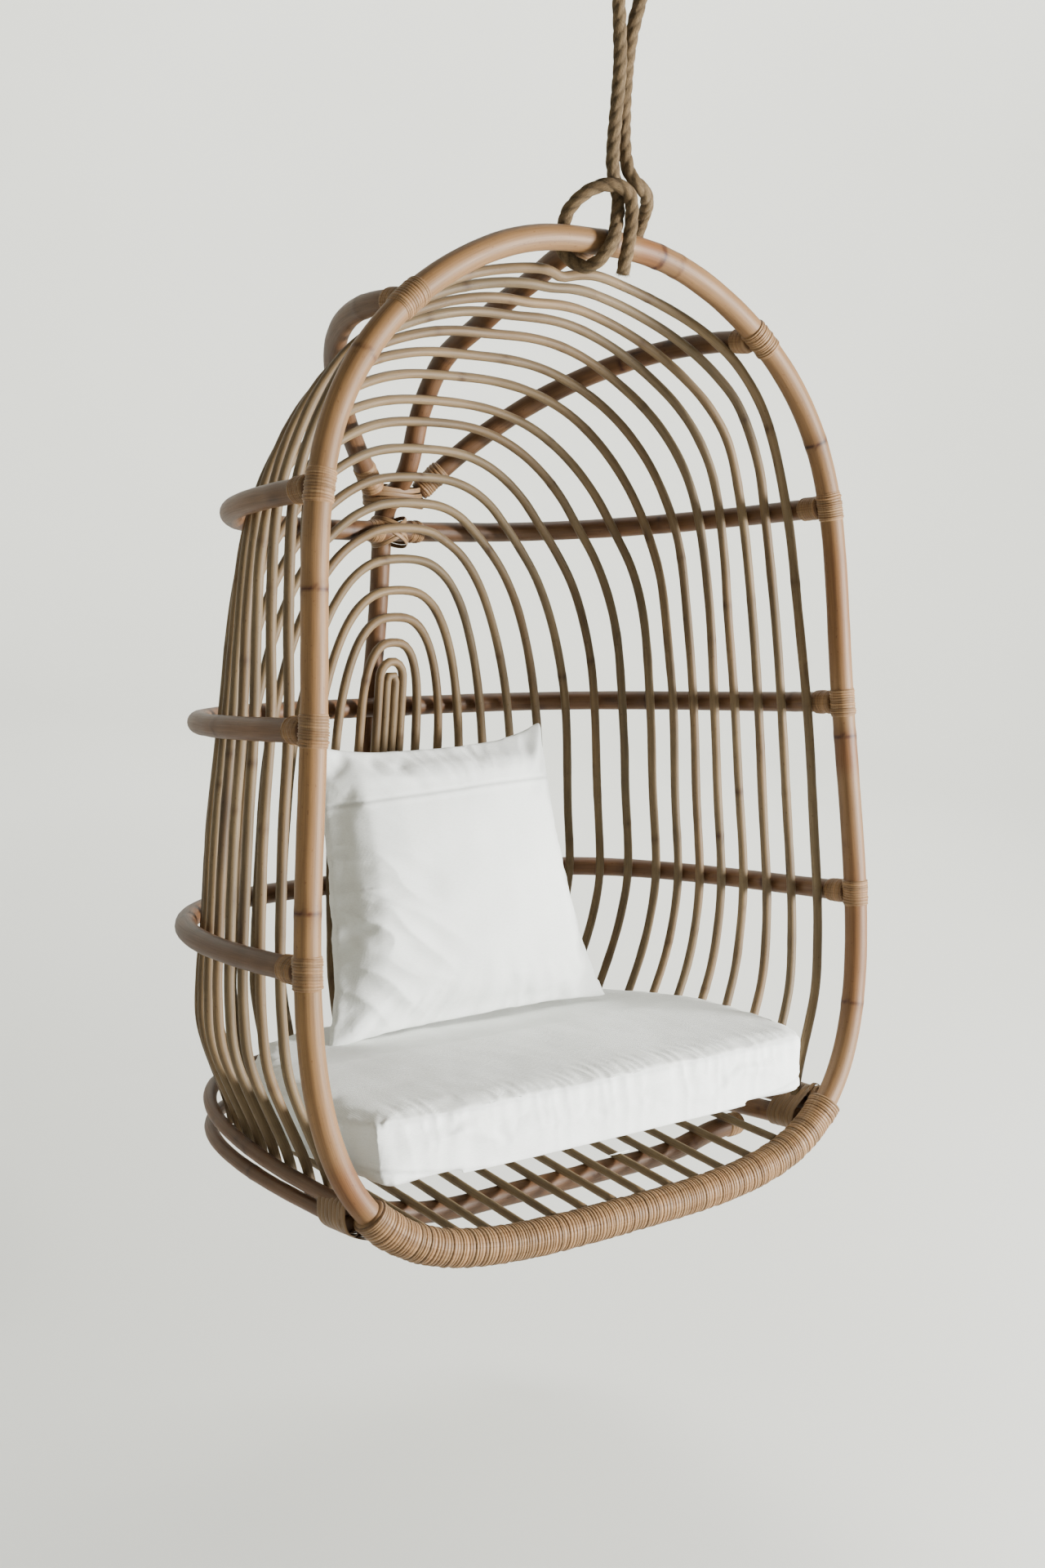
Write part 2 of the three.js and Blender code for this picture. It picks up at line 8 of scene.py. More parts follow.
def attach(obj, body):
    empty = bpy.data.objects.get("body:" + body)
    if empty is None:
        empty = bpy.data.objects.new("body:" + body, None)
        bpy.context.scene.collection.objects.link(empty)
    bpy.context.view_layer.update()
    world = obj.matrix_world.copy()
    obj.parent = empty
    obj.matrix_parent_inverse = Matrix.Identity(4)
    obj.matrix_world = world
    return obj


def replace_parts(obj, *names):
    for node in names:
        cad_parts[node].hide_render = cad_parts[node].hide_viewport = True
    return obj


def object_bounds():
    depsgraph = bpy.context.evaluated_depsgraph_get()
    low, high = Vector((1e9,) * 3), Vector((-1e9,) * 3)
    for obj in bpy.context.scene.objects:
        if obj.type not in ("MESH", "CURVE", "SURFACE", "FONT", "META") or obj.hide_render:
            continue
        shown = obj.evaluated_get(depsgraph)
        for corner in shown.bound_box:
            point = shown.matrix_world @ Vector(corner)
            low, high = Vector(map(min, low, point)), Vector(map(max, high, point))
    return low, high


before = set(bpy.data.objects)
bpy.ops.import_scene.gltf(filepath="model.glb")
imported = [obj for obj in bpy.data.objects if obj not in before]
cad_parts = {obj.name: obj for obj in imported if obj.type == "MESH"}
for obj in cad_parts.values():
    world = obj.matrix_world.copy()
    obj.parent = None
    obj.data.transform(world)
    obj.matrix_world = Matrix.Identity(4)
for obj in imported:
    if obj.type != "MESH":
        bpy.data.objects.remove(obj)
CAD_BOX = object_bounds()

LEAN = math.radians(12)  # of the hoop, behind the plumb line
HOOP_TOP = 1200.0
DROP = 465.0  # from the ceiling plate's top face down to the hoop's top
SIDE_SHIFT = -12.0


def place(points):
    """From the chair's frame, in millimetres, to the row frame, in metres."""
    p = np.asarray(points, float).reshape(-1, 3)
    c, s = math.cos(LEAN), math.sin(LEAN)
    y, up = p[:, 1], p[:, 2] - HOOP_TOP
    return np.stack([p[:, 0] + SIDE_SHIFT, y * c + up * s, -y * s + up * c - DROP], 1) / 1000


def turn(vectors):
    v = np.asarray(vectors, float).reshape(-1, 3)
    c, s = math.cos(LEAN), math.sin(LEAN)
    return np.stack([v[:, 0], v[:, 1] * c + v[:, 2] * s, -v[:, 1] * s + v[:, 2] * c], 1)


def new_object(name, data):
    obj = bpy.data.objects.new(name, data)
    bpy.context.scene.collection.objects.link(obj)
    return obj


# ------------------------------------------------------------------------- camera
CAMERA_AT = (-1.4752, -1.7843, -0.5961)
RIGHT = Vector((0.7899, -0.6052, 0.0990)).normalized()
AHEAD = Vector((0.6098, 0.7581, -0.2312)).normalized()

camera_data = bpy.data.cameras.new("camera")
camera_data.sensor_width = 36
camera_data.lens = 42.09
camera_data.clip_end = 60
camera = new_object("camera", camera_data)
bpy.context.scene.camera = camera
axes = Matrix((RIGHT, RIGHT.cross(AHEAD).normalized(), -AHEAD)).transposed().to_4x4()
camera.matrix_world = Matrix.Translation(CAMERA_AT) @ axes


# ------------------------------------------------------------------- curve helpers
def catmull(points, per):
    """The centripetal curve that part.mjs draws its tubes along."""
    p = np.asarray(points, float)
    p = np.vstack([2 * p[0] - p[1], p, 2 * p[-1] - p[-2]])
    out = []
    for i in range(1, len(p) - 2):
        p0, p1, p2, p3 = p[i - 1:i + 3]
        d0, d1, d2 = [max(np.linalg.norm(gap) ** 0.5, 1e-6) for gap in (p1 - p0, p2 - p1, p3 - p2)]
        t1 = ((p1 - p0) / d0 - (p2 - p0) / (d0 + d1) + (p2 - p1) / d1) * d1
        t2 = ((p2 - p1) / d1 - (p3 - p1) / (d1 + d2) + (p3 - p2) / d2) * d1
        for k in range(per):
            t = k / per
            out.append((2 * t ** 3 - 3 * t ** 2 + 1) * p1 + (t ** 3 - 2 * t ** 2 + t) * t1
                       + (-2 * t ** 3 + 3 * t ** 2) * p2 + (t ** 3 - t ** 2) * t2)
    out.append(p[-2])
    return np.array(out)


def lengths_of(points):
    return np.concatenate([[0], np.cumsum(np.linalg.norm(np.diff(points, axis=0), axis=1))])


def spaced(points, step):
    """The same line with its points an even step apart."""
    d = lengths_of(points)
    n = max(2, int(round(d[-1] / step)) + 1)
    at = np.linspace(0, d[-1], n)
    return np.stack([np.interp(at, d, points[:, k]) for k in range(3)], 1)


def frames_along(points, first=(0, 0, 1)):
    t = np.gradient(points, axis=0)
    t /= np.linalg.norm(t, axis=1)[:, None]
    n = np.zeros_like(points)
    side = np.cross(t[0], first)
    if np.linalg.norm(side) < 0.2:
        side = np.cross(t[0], (1, 0, 0))
    n[0] = side / np.linalg.norm(side)
    for i in range(1, len(points)):
        v = n[i - 1] - t[i] * np.dot(n[i - 1], t[i])
        n[i] = v / np.linalg.norm(v)
    return t, n, np.cross(t, n)


def wander(x, scale, seed):
    """Smooth noise along a line, from -1 to 1."""
    x = np.asarray(x, float) / scale
    rng = np.random.default_rng(seed)
    table = rng.uniform(-1, 1, 4096)
    i = np.floor(x).astype(int)
    f = x - i
    f = f * f * (3 - 2 * f)
    return table[i % 4096] * (1 - f) + table[(i + 1) % 4096] * f


def bell(x, at, width):
    return np.exp(-((x - at) / width) ** 2)


def angles(sides):
    return np.arange(sides) * 2 * np.pi / sides


def paint(mesh, tint):
    values = np.ones((len(mesh.vertices), 4), np.float32)
    values[:, :3] = tint
    mesh.attributes.new("tint", "FLOAT_COLOR", "POINT").data.foreach_set("color", values.ravel())


def mesh_object(name, verts, faces, material, body="chair", smooth=True, uv=None, tint=None):
    mesh = bpy.data.meshes.new(name)
    mesh.from_pydata([tuple(v) for v in verts], [], [tuple(f) for f in faces])
    if smooth:
        mesh.polygons.foreach_set("use_smooth", np.ones(len(mesh.polygons), bool))
    if uv is not None:
        layer = mesh.uv_layers.new(name="UVMap")
        layer.data.foreach_set("uv", np.asarray(uv, np.float32).ravel())
    paint(mesh, 1 if tint is None else tint)
    mesh.materials.append(material)
    mesh.update()
    obj = new_object(name, mesh)
    if body:
        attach(obj, body)
    return obj


def tube(name, path, radius, sides, material, body="chair", tint=None, first=(0, 0, 1), squeeze=(1, 1)):
    """A round skin along path, in metres. radius and tint are per ring, or per ring and side."""
    n = len(path)
    t, a, b = frames_along(path, first)
    r = np.asarray(radius, float)
    if r.ndim == 0:
        r = np.full((n, 1), float(r))
    elif r.ndim == 1:
        r = r[:, None]
    r = np.broadcast_to(r, (n, sides))
    angle = angles(sides)
    wide, high = squeeze
    ring = (np.cos(angle)[None, :, None] * a[:, None, :] * wide
            + np.sin(angle)[None, :, None] * b[:, None, :] * high)
    verts = (path[:, None, :] + r[:, :, None] * ring).reshape(-1, 3)
    i = np.arange(n - 1)[:, None] * sides
    k = np.arange(sides)[None, :]
    k2 = (k + 1) % sides
    faces = np.stack([i + k, i + k2, i + sides + k2, i + sides + k], -1).reshape(-1, 4)
    run = lengths_of(path)
    around = 2 * np.pi * float(r.mean())
    u = np.arange(sides + 1) / sides * around
    uv = np.zeros((n - 1, sides, 4, 2))
    corners = ((u[:-1], run[:-1]), (u[1:], run[:-1]), (u[1:], run[1:]), (u[:-1], run[1:]))
    for i, (across, along) in enumerate(corners):
        uv[:, :, i, 0] = across[None]
        uv[:, :, i, 1] = along[:, None]
    uv = uv.reshape(-1, 2)
    colours = None
    if tint is not None:
        tint = np.asarray(tint, float)
        if tint.ndim == 2:
            tint = np.broadcast_to(tint[:, None, :], (n, sides, 3))
        colours = tint.reshape(-1, 3)
    faces = faces.tolist()
    uv = uv.tolist()
    # slightly domed ends
    for end, step in ((0, 1), (n - 1, -1)):
        base = end * sides
        last = len(verts)
        mean_r = float(r[end].mean())
        tip = path[end] - t[end] * step * mean_r * 0.12
        ring = verts[base:base + sides] - path[end]
        inner = path[end] + 0.72 * ring - t[end] * step * mean_r * 0.09
        verts = np.vstack([verts, inner, tip[None]])
        for k in range(sides):
            k2 = (k + 1) % sides
            quad = [base + k, last + k, last + k2, base + k2]
            cap = [last + k, last + sides, last + k2]
            if step < 0:
                quad, cap = quad[::-1], cap[::-1]
            faces += [quad, cap]
            uv += [[0, 0]] * 7
        if colours is not None:
            rim = colours[base:base + sides]
            colours = np.vstack([colours, rim * 0.75, rim[:1] * 0.7])
    return mesh_object(name, verts, faces, material, body, uv=uv, tint=colours)


# ---------------------------------------------------------------------- materials
def node_tree(name):
    material = bpy.data.materials.new(name)
    material.use_nodes = True
    tree = material.node_tree
    shader = next(n for n in tree.nodes if n.type == "BSDF_PRINCIPLED")
    return material, tree, shader


def add(tree, kind, **attributes):
    node = tree.nodes.new(kind)
    for key, value in attributes.items():
        setattr(node, key, value)
    return node


def settle(node, **sockets):
    """Sets input sockets. An underscore stands for a space in a socket's name."""
    for key, value in sockets.items():
        node.inputs[key.replace("_", " ")].default_value = value


def scaled(tree, source, scale):
    mapping = add(tree, "ShaderNodeMapping")
    settle(mapping, Scale=scale)
    tree.links.new(source, mapping.inputs["Vector"])
    return mapping.outputs["Vector"]


def noise_of(tree, vector, scale, detail, rough):
    node = add(tree, "ShaderNodeTexNoise")
    settle(node, Scale=scale, Detail=detail, Roughness=rough)
    tree.links.new(vector, node.inputs["Vector"])
    return node.outputs["Fac"]


def ramp(tree, source, stops):
    node = add(tree, "ShaderNodeValToRGB")
    elements = node.color_ramp.elements
    while len(elements) < len(stops):
        elements.new(0.5)
    for element, (at, colour) in zip(elements, stops):
        element.position = at
        element.color = (*colour, 1)
    tree.links.new(source, node.inputs["Fac"])
    return node.outputs["Color"]


MIX_FACTOR, MIX_A, MIX_B, MIX_RESULT = 0, 6, 7, 2  # the Mix node's sockets for colours


def multiply(tree, a, b, share=1.0):
    """a is a plain colour or an output, b an output."""
    node = add(tree, "ShaderNodeMix", data_type="RGBA", blend_type="MULTIPLY")
    node.inputs[MIX_FACTOR].default_value = share
    if isinstance(a, tuple):
        node.inputs[MIX_A].default_value = (*a, 1)
    else:
        tree.links.new(a, node.inputs[MIX_A])
    tree.links.new(b, node.inputs[MIX_B])
    return node.outputs[MIX_RESULT]


def tinted(tree, colour):
    attribute = add(tree, "ShaderNodeAttribute", attribute_name="tint")
    return multiply(tree, colour, attribute.outputs["Color"])


def bump_of(tree, height, distance, strength=0.6, under=None):
    node = add(tree, "ShaderNodeBump")
    settle(node, Distance=distance, Strength=strength)
    tree.links.new(height, node.inputs["Height"])
    if under is not None:
        tree.links.new(under, node.inputs["Normal"])
    return node.outputs["Normal"]


def dress(tree, shader, colour, normal, rough_from, low, high):
    """Feeds the shader its colour, its bump, and a roughness that follows rough_from."""
    span = add(tree, "ShaderNodeMapRange")
    settle(span, To_Min=low, To_Max=high)
    tree.links.new(rough_from, span.inputs["Value"])
    tree.links.new(span.outputs["Result"], shader.inputs["Roughness"])
    tree.links.new(colour, shader.inputs["Base Color"])
    tree.links.new(normal, shader.inputs["Normal"])


def rattan(name, colour, gloss, streak, fibres=1.0, bump=0.00025):
    """Rattan skin: long fibre streaks, small dark specks and a tint painted on each piece."""
    material, tree, shader = node_tree(name)
    uv = add(tree, "ShaderNodeTexCoord").outputs["UV"]
    fine = noise_of(tree, scaled(tree, uv, (900 * fibres, 14, 1)), 1.0, 4, 0.6)
    broad = noise_of(tree, scaled(tree, uv, (160 * fibres, 5, 1)), 1.0, 3, 0.5)
    spots = noise_of(tree, scaled(tree, uv, (300, 170, 1)), 1.0, 2, 0.5)
    colour = tinted(tree, colour)
    low = 1 - streak
    streaks = ramp(tree, fine, [(0.3, (low, low * 0.985, low * 0.96)), (0.62, (1, 1, 1))])
    colour = multiply(tree, colour, streaks)
    colour = multiply(tree, colour, ramp(tree, broad, [
        (0.28, (0.80, 0.76, 0.70)), (0.5, (1, 1, 1)), (0.75, (1.10, 1.08, 1.05))]))
    specks = ramp(tree, spots, [(0.27, (0.62, 0.52, 0.44)), (0.36, (1, 1, 1))])
    colour = multiply(tree, colour, specks, 0.75)
    dress(tree, shader, colour, bump_of(tree, fine, bump), fine, gloss + 0.12, gloss - 0.05)
    settle(shader, Specular_IOR_Level=0.3)
    return material


POLE = rattan("rattan_pole", (0.190, 0.104, 0.043), 0.50, 0.28)
DARK_POLE = rattan("rattan_dark_pole", (0.112, 0.055, 0.023), 0.50, 0.34)
CANE = rattan("rattan_cane", (0.145, 0.101, 0.052), 0.56, 0.40, 1.3)
PEEL = rattan("rattan_peel", (0.222, 0.130, 0.061), 0.50, 0.38, 1.4, 0.00015)


def cotton(name, colour):
    material, tree, shader = node_tree(name)
    place_of = add(tree, "ShaderNodeTexCoord").outputs["Object"]
    warp = add(tree, "ShaderNodeTexWave", wave_type="BANDS", bands_direction="X")
    weft = add(tree, "ShaderNodeTexWave", wave_type="BANDS", bands_direction="Z")
    for wave in (warp, weft):
        settle(wave, Scale=330, Distortion=1.2, Detail=1.0, Detail_Scale=2.0)
        tree.links.new(place_of, wave.inputs["Vector"])
    weave = add(tree, "ShaderNodeMath", operation="ADD")
    tree.links.new(warp.outputs["Fac"], weave.inputs[0])
    tree.links.new(weft.outputs["Fac"], weave.inputs[1])
    slubs = noise_of(tree, scaled(tree, place_of, (1, 1, 3.5)), 240, 3, 0.6)
    clouds = noise_of(tree, place_of, 9, 3, 0.5)
    colour = tinted(tree, colour)
    colour = multiply(tree, colour, ramp(tree, slubs, [(0.3, (0.93, 0.925, 0.91)), (0.6, (1, 1, 1))]))
    colour = multiply(tree, colour, ramp(tree, clouds, [(0.3, (0.955, 0.955, 0.95)), (0.7, (1, 1, 1))]))
    soft = bump_of(tree, slubs, 0.0006, 0.35)
    dress(tree, shader, colour, bump_of(tree, weave.outputs[0], 0.00025, 0.5, soft), slubs, 0.86, 0.97)
    settle(shader, Sheen_Weight=0.25, Sheen_Roughness=0.5, Specular_IOR_Level=0.25)
    return material


COTTON = cotton("cotton_seat", (0.85, 0.875, 0.86))
PILLOW_COTTON = cotton("cotton_pillow", (0.80, 0.825, 0.80))


def jute(name, colour):
    material, tree, shader = node_tree(name)
    uv = add(tree, "ShaderNodeTexCoord").outputs["UV"]
    fibres = noise_of(tree, scaled(tree, uv, (1500, 260, 1)), 1.0, 4, 0.65)
    clumps = noise_of(tree, scaled(tree, uv, (120, 60, 1)), 1.0, 3, 0.5)
    colour = tinted(tree, colour)
    colour = multiply(tree, colour, ramp(tree, fibres, [
        (0.3, (0.50, 0.46, 0.42)), (0.52, (1, 1, 1)), (0.72, (1.45, 1.42, 1.36))]))
    colour = multiply(tree, colour, ramp(tree, clumps, [(0.3, (0.78, 0.75, 0.72)), (0.6, (1, 1, 1))]))
    dress(tree, shader, colour, bump_of(tree, fibres, 0.0012, 0.9), fibres, 0.96, 0.84)
    settle(shader, Specular_IOR_Level=0.2)
    return material


JUTE = jute("jute_rope", (0.125, 0.088, 0.049))


def metal(name, colour, metallic, low, high, scratch):
    material, tree, shader = node_tree(name)
    place_of = add(tree, "ShaderNodeTexCoord").outputs["Object"]
    grain = noise_of(tree, scaled(tree, place_of, (1, 1, 0.25)), scratch, 4, 0.6)
    worn = noise_of(tree, place_of, 60, 3, 0.5)
    colour = tinted(tree, colour)
    colour = multiply(tree, colour, ramp(tree, worn, [(0.3, (0.82, 0.81, 0.80)), (0.6, (1, 1, 1))]))
    dress(tree, shader, colour, bump_of(tree, grain, 0.0001, 0.4), grain, low, high)
    settle(shader, Metallic=metallic)
    return material


STEEL = metal("steel", (0.62, 0.62, 0.61), 1.0, 0.22, 0.42, 900)
BLACK = metal("black_paint", (0.022, 0.022, 0.023), 0.0, 0.34, 0.55, 700)


# ----------------------------------------------------------------------- painting
def pole_tint(path, sides, seed, rings=(), patches=0.10, warm=0.10, specks=0):
    """Colour of a pole: slow changes along it, darker nodes, and a stain here and there."""
    d = lengths_of(path)
    rng = np.random.default_rng(seed)
    angle = angles(sides)
    light = 1 + patches * wander(d, 0.11, seed) + 0.5 * patches * wander(d, 0.031, seed + 1)
    out = light[:, None, None] * np.ones((1, sides, 3))
    out *= (1 + 0.05 * np.cos(angle + rng.uniform(0, 6)))[None, :, None]
    heat = np.clip(0.5 + 0.5 * wander(d, 0.16, seed + 2), 0, 1) * warm
    out *= 1 - heat[:, None, None] * np.array([0.15, 0.8, 1.3])
    for at, width, depth in rings:
        jag = 0.0012 * np.sin(angle * 3 + rng.uniform(0, 6))
        jag = jag + 0.0009 * np.sin(angle * 7 + rng.uniform(0, 6))
        mark = depth * bell(d[:, None] + jag[None, :], at, width)
        halo = 0.22 * depth * bell(d[:, None], at, width * 7)
        out *= 1 - (mark + halo)[:, :, None] * np.array([0.85, 1.0, 1.1])
    for _ in range(specks):
        at, where = rng.uniform(0, d[-1]), rng.uniform(0, 2 * np.pi)
        size = rng.uniform(0.002, 0.007)
        far = ((d[:, None] - at) / (size * 2.2)) ** 2
        far = far + (np.sin((angle[None, :] - where) / 2) * 2 / 0.35) ** 2
        out *= 1 - 0.55 * np.exp(-far)[:, :, None] * np.array([0.9, 1, 1.05])
    return np.clip(out, 0.05, 1.6)


def node_radius(path, radius, rings, swell=0.0005, width=0.006, seed=1):
    d = lengths_of(path)
    out = radius + 0.0002 * wander(d, 0.03, seed)
    for at, *_ in rings:
        out = out + swell * bell(d, at, width) - 0.7 * swell * bell(d, at + 0.001, 0.0018)
    return out


def some_rings(length, every, seed, depth=0.5):
    rng = np.random.default_rng(seed)
    at, out = rng.uniform(0.03, every), []
    while at < length:
        out.append((at, rng.uniform(0.0012, 0.0026), depth * rng.uniform(0.4, 1.15)))
        at += every * rng.uniform(0.65, 1.35)
    return out


def pole(name, path_mm, radius_mm, node, material, seed, every, sides=20, step=0.006, depth=0.55, **shades):
    path = spaced(place(path_mm), step)
    rings = some_rings(lengths_of(path)[-1], every, seed, depth)
    obj = tube(name, path, node_radius(path, radius_mm / 1000, rings, seed=seed), sides, material,
               tint=pole_tint(path, sides, seed, rings, **shades))
    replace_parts(obj, node)


# --------------------------------------------------------------------------- hoop
HOOP_CONTROLS = [(0, 0), (319, 0), (435, 148), (448, 374), (413, 670), (416, 941), (300, 1107), (122, 1200),
                 (0, 1200)]


def hoop_point(u):
    last = len(HOOP_CONTROLS) - 1

    def control(i):
        mirrored = i < 0 or i > last
        x, z = HOOP_CONTROLS[-i if i < 0 else 2 * last - i if i > last else i]
        return np.array([-x if mirrored else x, z], float)

    span = min(int(u * last), last - 1)
    t = u * last - span
    weights = ((1 - t) ** 3, 3 * t ** 3 - 6 * t ** 2 + 4, -3 * t ** 3 + 3 * t ** 2 + 3 * t + 1, t ** 3)
    x, z = sum(w * control(span + k - 1) for k, w in enumerate(weights)) / 6
    return np.array([x, 0.0, z])


HOOP_HALF = np.array([hoop_point(i / 600) for i in range(601)])


def hoop_half_width(height):
    if height <= 0:
        return 0.0
    return float(np.interp(height, HOOP_HALF[:, 2], HOOP_HALF[:, 0]))


# up the right, down the left
HOOP_LINE = np.vstack([HOOP_HALF, HOOP_HALF[::-1][1:-1] * np.array([-1, 1, 1])])
HOOP_LINE[0, 0] = 0.25


def hoop_length_at(side, height):
    """Length along the hoop, in metres, from the middle of the bottom rail up the right side."""
    d = lengths_of(HOOP_LINE) / 1000
    half = len(HOOP_HALF)
    if side > 0:
        return float(np.interp(height, HOOP_LINE[:half, 2], d[:half]))
    z = HOOP_LINE[half:, 2][::-1]
    return float(np.interp(height, z, d[half:][::-1]))


def make_hoop():
    path = spaced(place(HOOP_LINE), 0.004)
    marks = [  # side, height, depth
        (1, 977, 0.9), (1, 582, 0.75), (1, 211, 0.6), (-1, 782, 0.8), (-1, 430, 0.75), (-1, 1040, 0.5),
        (1, 1185, 0.5)]
    rings = [(hoop_length_at(s, z), 0.0022, k) for s, z, k in marks]
    middle = hoop_length_at(1, 1199.9)
    rings += [(middle + 0.014, 0.003, 0.85), (middle - 0.076, 0.0035, 0.8)]
    sides = 28
    tint = pole_tint(path, sides, 5, rings, patches=0.07, warm=0.06)
    d = lengths_of(path)
    angle = angles(sides)
    zones = [  # centre, half length, colour there
        (middle - 0.055, 0.022, (0.93, 0.74, 0.62)),
        (hoop_length_at(1, 560), 0.03, (0.82, 0.66, 0.56)),
        (hoop_length_at(1, 300), 0.12, (0.84, 0.72, 0.62)),
        (hoop_length_at(1, 760), 0.10, (0.90, 0.80, 0.70)),
        (hoop_length_at(-1, 640), 0.16, (1.12, 1.12, 1.08)),
        (hoop_length_at(-1, 330), 0.12, (1.10, 1.12, 1.08)),
        (hoop_length_at(-1, 118), 0.035, (0.72, 0.58, 0.48)),
    ]
    for at, half, colour in zones:
        share = np.exp(-((d - at) / half) ** 4)[:, None, None]
        tint *= 1 - share * (1 - np.array(colour))
    rng = np.random.default_rng(11)
    stains = [  # side, height, depth
        (-1, 322, 0.9), (-1, 160, 0.7), (-1, 140, 0.75), (-1, 102, 0.95), (1, 430, 0.4), (-1, 905, 0.35)]
    for s, z, k in stains:
        at = hoop_length_at(s, z)
        for _ in range(5):
            c, w = at + rng.normal(0, 0.006), rng.uniform(2.6, 4.6)
            far = ((d[:, None] - c) / 0.005) ** 2 + (np.sin((angle[None] - w) / 2) * 2 / 0.45) ** 2
            tint *= 1 - k * 0.45 * np.exp(-far)[:, :, None] * np.array([0.8, 1, 1.1])
    obj = tube("hoop", path, node_radius(path, 0.0155, rings, 0.0007), sides, POLE, tint=tint)
    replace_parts(obj, "front_hoop")


# ------------------------------------------------------------------- peel bindings
def binding(name, path, radius, pitch, height, seed, sides=24, shades=0.16, slope=0.6, gap=0.45):
    """Strips of peel wound close together round path, one ridge to a turn."""
    length = lengths_of(path)[-1]
    turns = max(2, int(round(length / pitch)))
    per = 9
    path = spaced(path, length / (turns * per))
    n = len(path)
    d = lengths_of(path) / length * turns
    rng = np.random.default_rng(seed)
    wide = rng.uniform(0.72, 1.3, turns + 6)
    edges = np.concatenate([[-2], -2 + np.cumsum(wide)])
    edges = (edges - edges[2]) / (edges[-2] - edges[2]) * turns
    angle = angles(sides)
    along = d[:, None] + slope * angle[None, :] / (2 * np.pi)
    along = along + 0.10 * np.sin(angle * 2 + rng.uniform(0, 6))[None, :]
    k = np.clip(np.searchsorted(edges, along.ravel()) - 1, 0, len(edges) - 2).reshape(along.shape)
    f = (along - edges[k]) / (edges[k + 1] - edges[k])
    crown = 1 - np.abs(2 * np.clip(f, 0, 1) - 1) ** 3.2
    stand = rng.uniform(-0.35, 0.35, len(edges))[k] * height
    r = radius + height * crown + stand * (crown > 0.2)
    far = np.minimum(np.arange(n), n - 1 - np.arange(n)) / per
    r = r - (height + 0.0006) * np.clip(1 - far / 0.5, 0, 1)[:, None]
    shade = 1 + rng.uniform(-shades, shades, len(edges))[k]
    warm = rng.uniform(0, 1, len(edges))[k]
    tint = shade[:, :, None] * (1 - warm[:, :, None] * np.array([0.0, 0.07, 0.13]))
    # painted shade: the grooves between the strips are tinted darker, by the share gap
    tint = tint * (1 - gap * np.clip(1 - crown * 1.9, 0, 1)[:, :, None])
    pale = rng.uniform(0, 1, len(edges))[k] > 0.86
    tint = np.where(pale[:, :, None], tint * np.array([1.14, 1.15, 1.16]), tint)
    return tube(name, path, r, sides, PEEL, tint=tint)


def hoop_part(side, low, high):
    a, b = sorted((hoop_length_at(side, low), hoop_length_at(side, high)))
    d = lengths_of(HOOP_LINE) / 1000
    at = np.linspace(a, b, 30)
    return place(np.stack([np.interp(at, d, HOOP_LINE[:, k]) for k in range(3)], 1))


def part_of(path, start, end):
    """The stretch of a path between two lengths, in its own unit."""
    d = lengths_of(path)
    at = np.linspace(start, end, 24)
    return np.stack([np.interp(at, d, path[:, k]) for k in range(3)], 1)


def ribbon_loop(name, points_mm, normal, width, thick, seed, tint):
    """A flat strip of peel that lies round an outline; normal is the way its width runs."""
    closed = list(points_mm) + [points_mm[0]]
    ring = catmull([points_mm[-1]] + closed + [points_mm[1]], 12)[12:-12]
    path = spaced(place(ring), 0.003)
    d = lengths_of(path)
    shade = tint * (1 + 0.12 * wander(d, 0.02, seed))
    first = turn([normal])[0]
    tube(name, path, 0.001, 12, PEEL, tint=np.repeat(shade[:, None], 3, 1), first=tuple(first),
         squeeze=(thick, width))


# -------------------------------------------------------------------- bands, rails
BAND_RADIUS = 14
RAIL_RADIUS = 9
CANE_RADIUS = 6.5
ROUND_BAND = 0.0146  # a binding's inside on a band or a bar
ROUND_SPINE = 0.0147
ROUND_HOOP = 0.0160
BANDS = {
    "upper_band": dict(z=893, depth=457, squareness=2.65, rise=-8),
    "middle_band": dict(z=628, depth=508, squareness=3.2, rise=8),
    "lower_band": dict(z=364, depth=538, squareness=3.25, rise=18),
}
UPPER_BAND = BANDS["upper_band"]
BASE_HALF_WIDTH = 384
BASE_RAILS = {
    "base_rail_upper": dict(z=85, depth=522, squareness=4.5, rise=68, sweep=1.5),
    "base_rail_lower": dict(z=66, depth=522, squareness=4.5, rise=43, sweep=1.5),
}


def band_path(z, depth, squareness, rise, half_width, start, sweep=2, steps=28):
    first = math.asin((start / depth) ** (squareness / 2))
    out = []
    for i in range(steps + 1):
        angle = first + (math.pi - 2 * first) * i / steps
        side = math.copysign(abs(math.cos(angle)) ** (2 / squareness), math.cos(angle))
        back = math.sin(angle) ** (2 / squareness)
        out.append((half_width * side, depth * back, z + rise * back ** sweep))
    return catmull(out, 6)


def make_bands():
    for i, (name, band) in enumerate(BANDS.items()):
        path = band_path(half_width=hoop_half_width(band["z"]), start=15.9, **band)
        pole(name + "_pole", path, BAND_RADIUS, name, DARK_POLE, 31 + i, every=0.30, patches=0.16, warm=0.12,
             specks=16, depth=0.7)
        total = lengths_of(path)[-1]
        for tag, (a, b) in {"right": (0, 32), "left": (total - 32, total)}.items():
            binding(f"{name}_{tag}_end", place(part_of(path, a, b)), ROUND_BAND, 0.0056, 0.0016, 60 + i)
    for i, (name, rail) in enumerate(BASE_RAILS.items()):
        path = band_path(half_width=BASE_HALF_WIDTH, start=24.5, steps=32, **rail)
        pole(name + "_pole", path, RAIL_RADIUS, name, DARK_POLE, 41 + i, every=0.26, sides=14, patches=0.2,
             warm=0.12, specks=12)


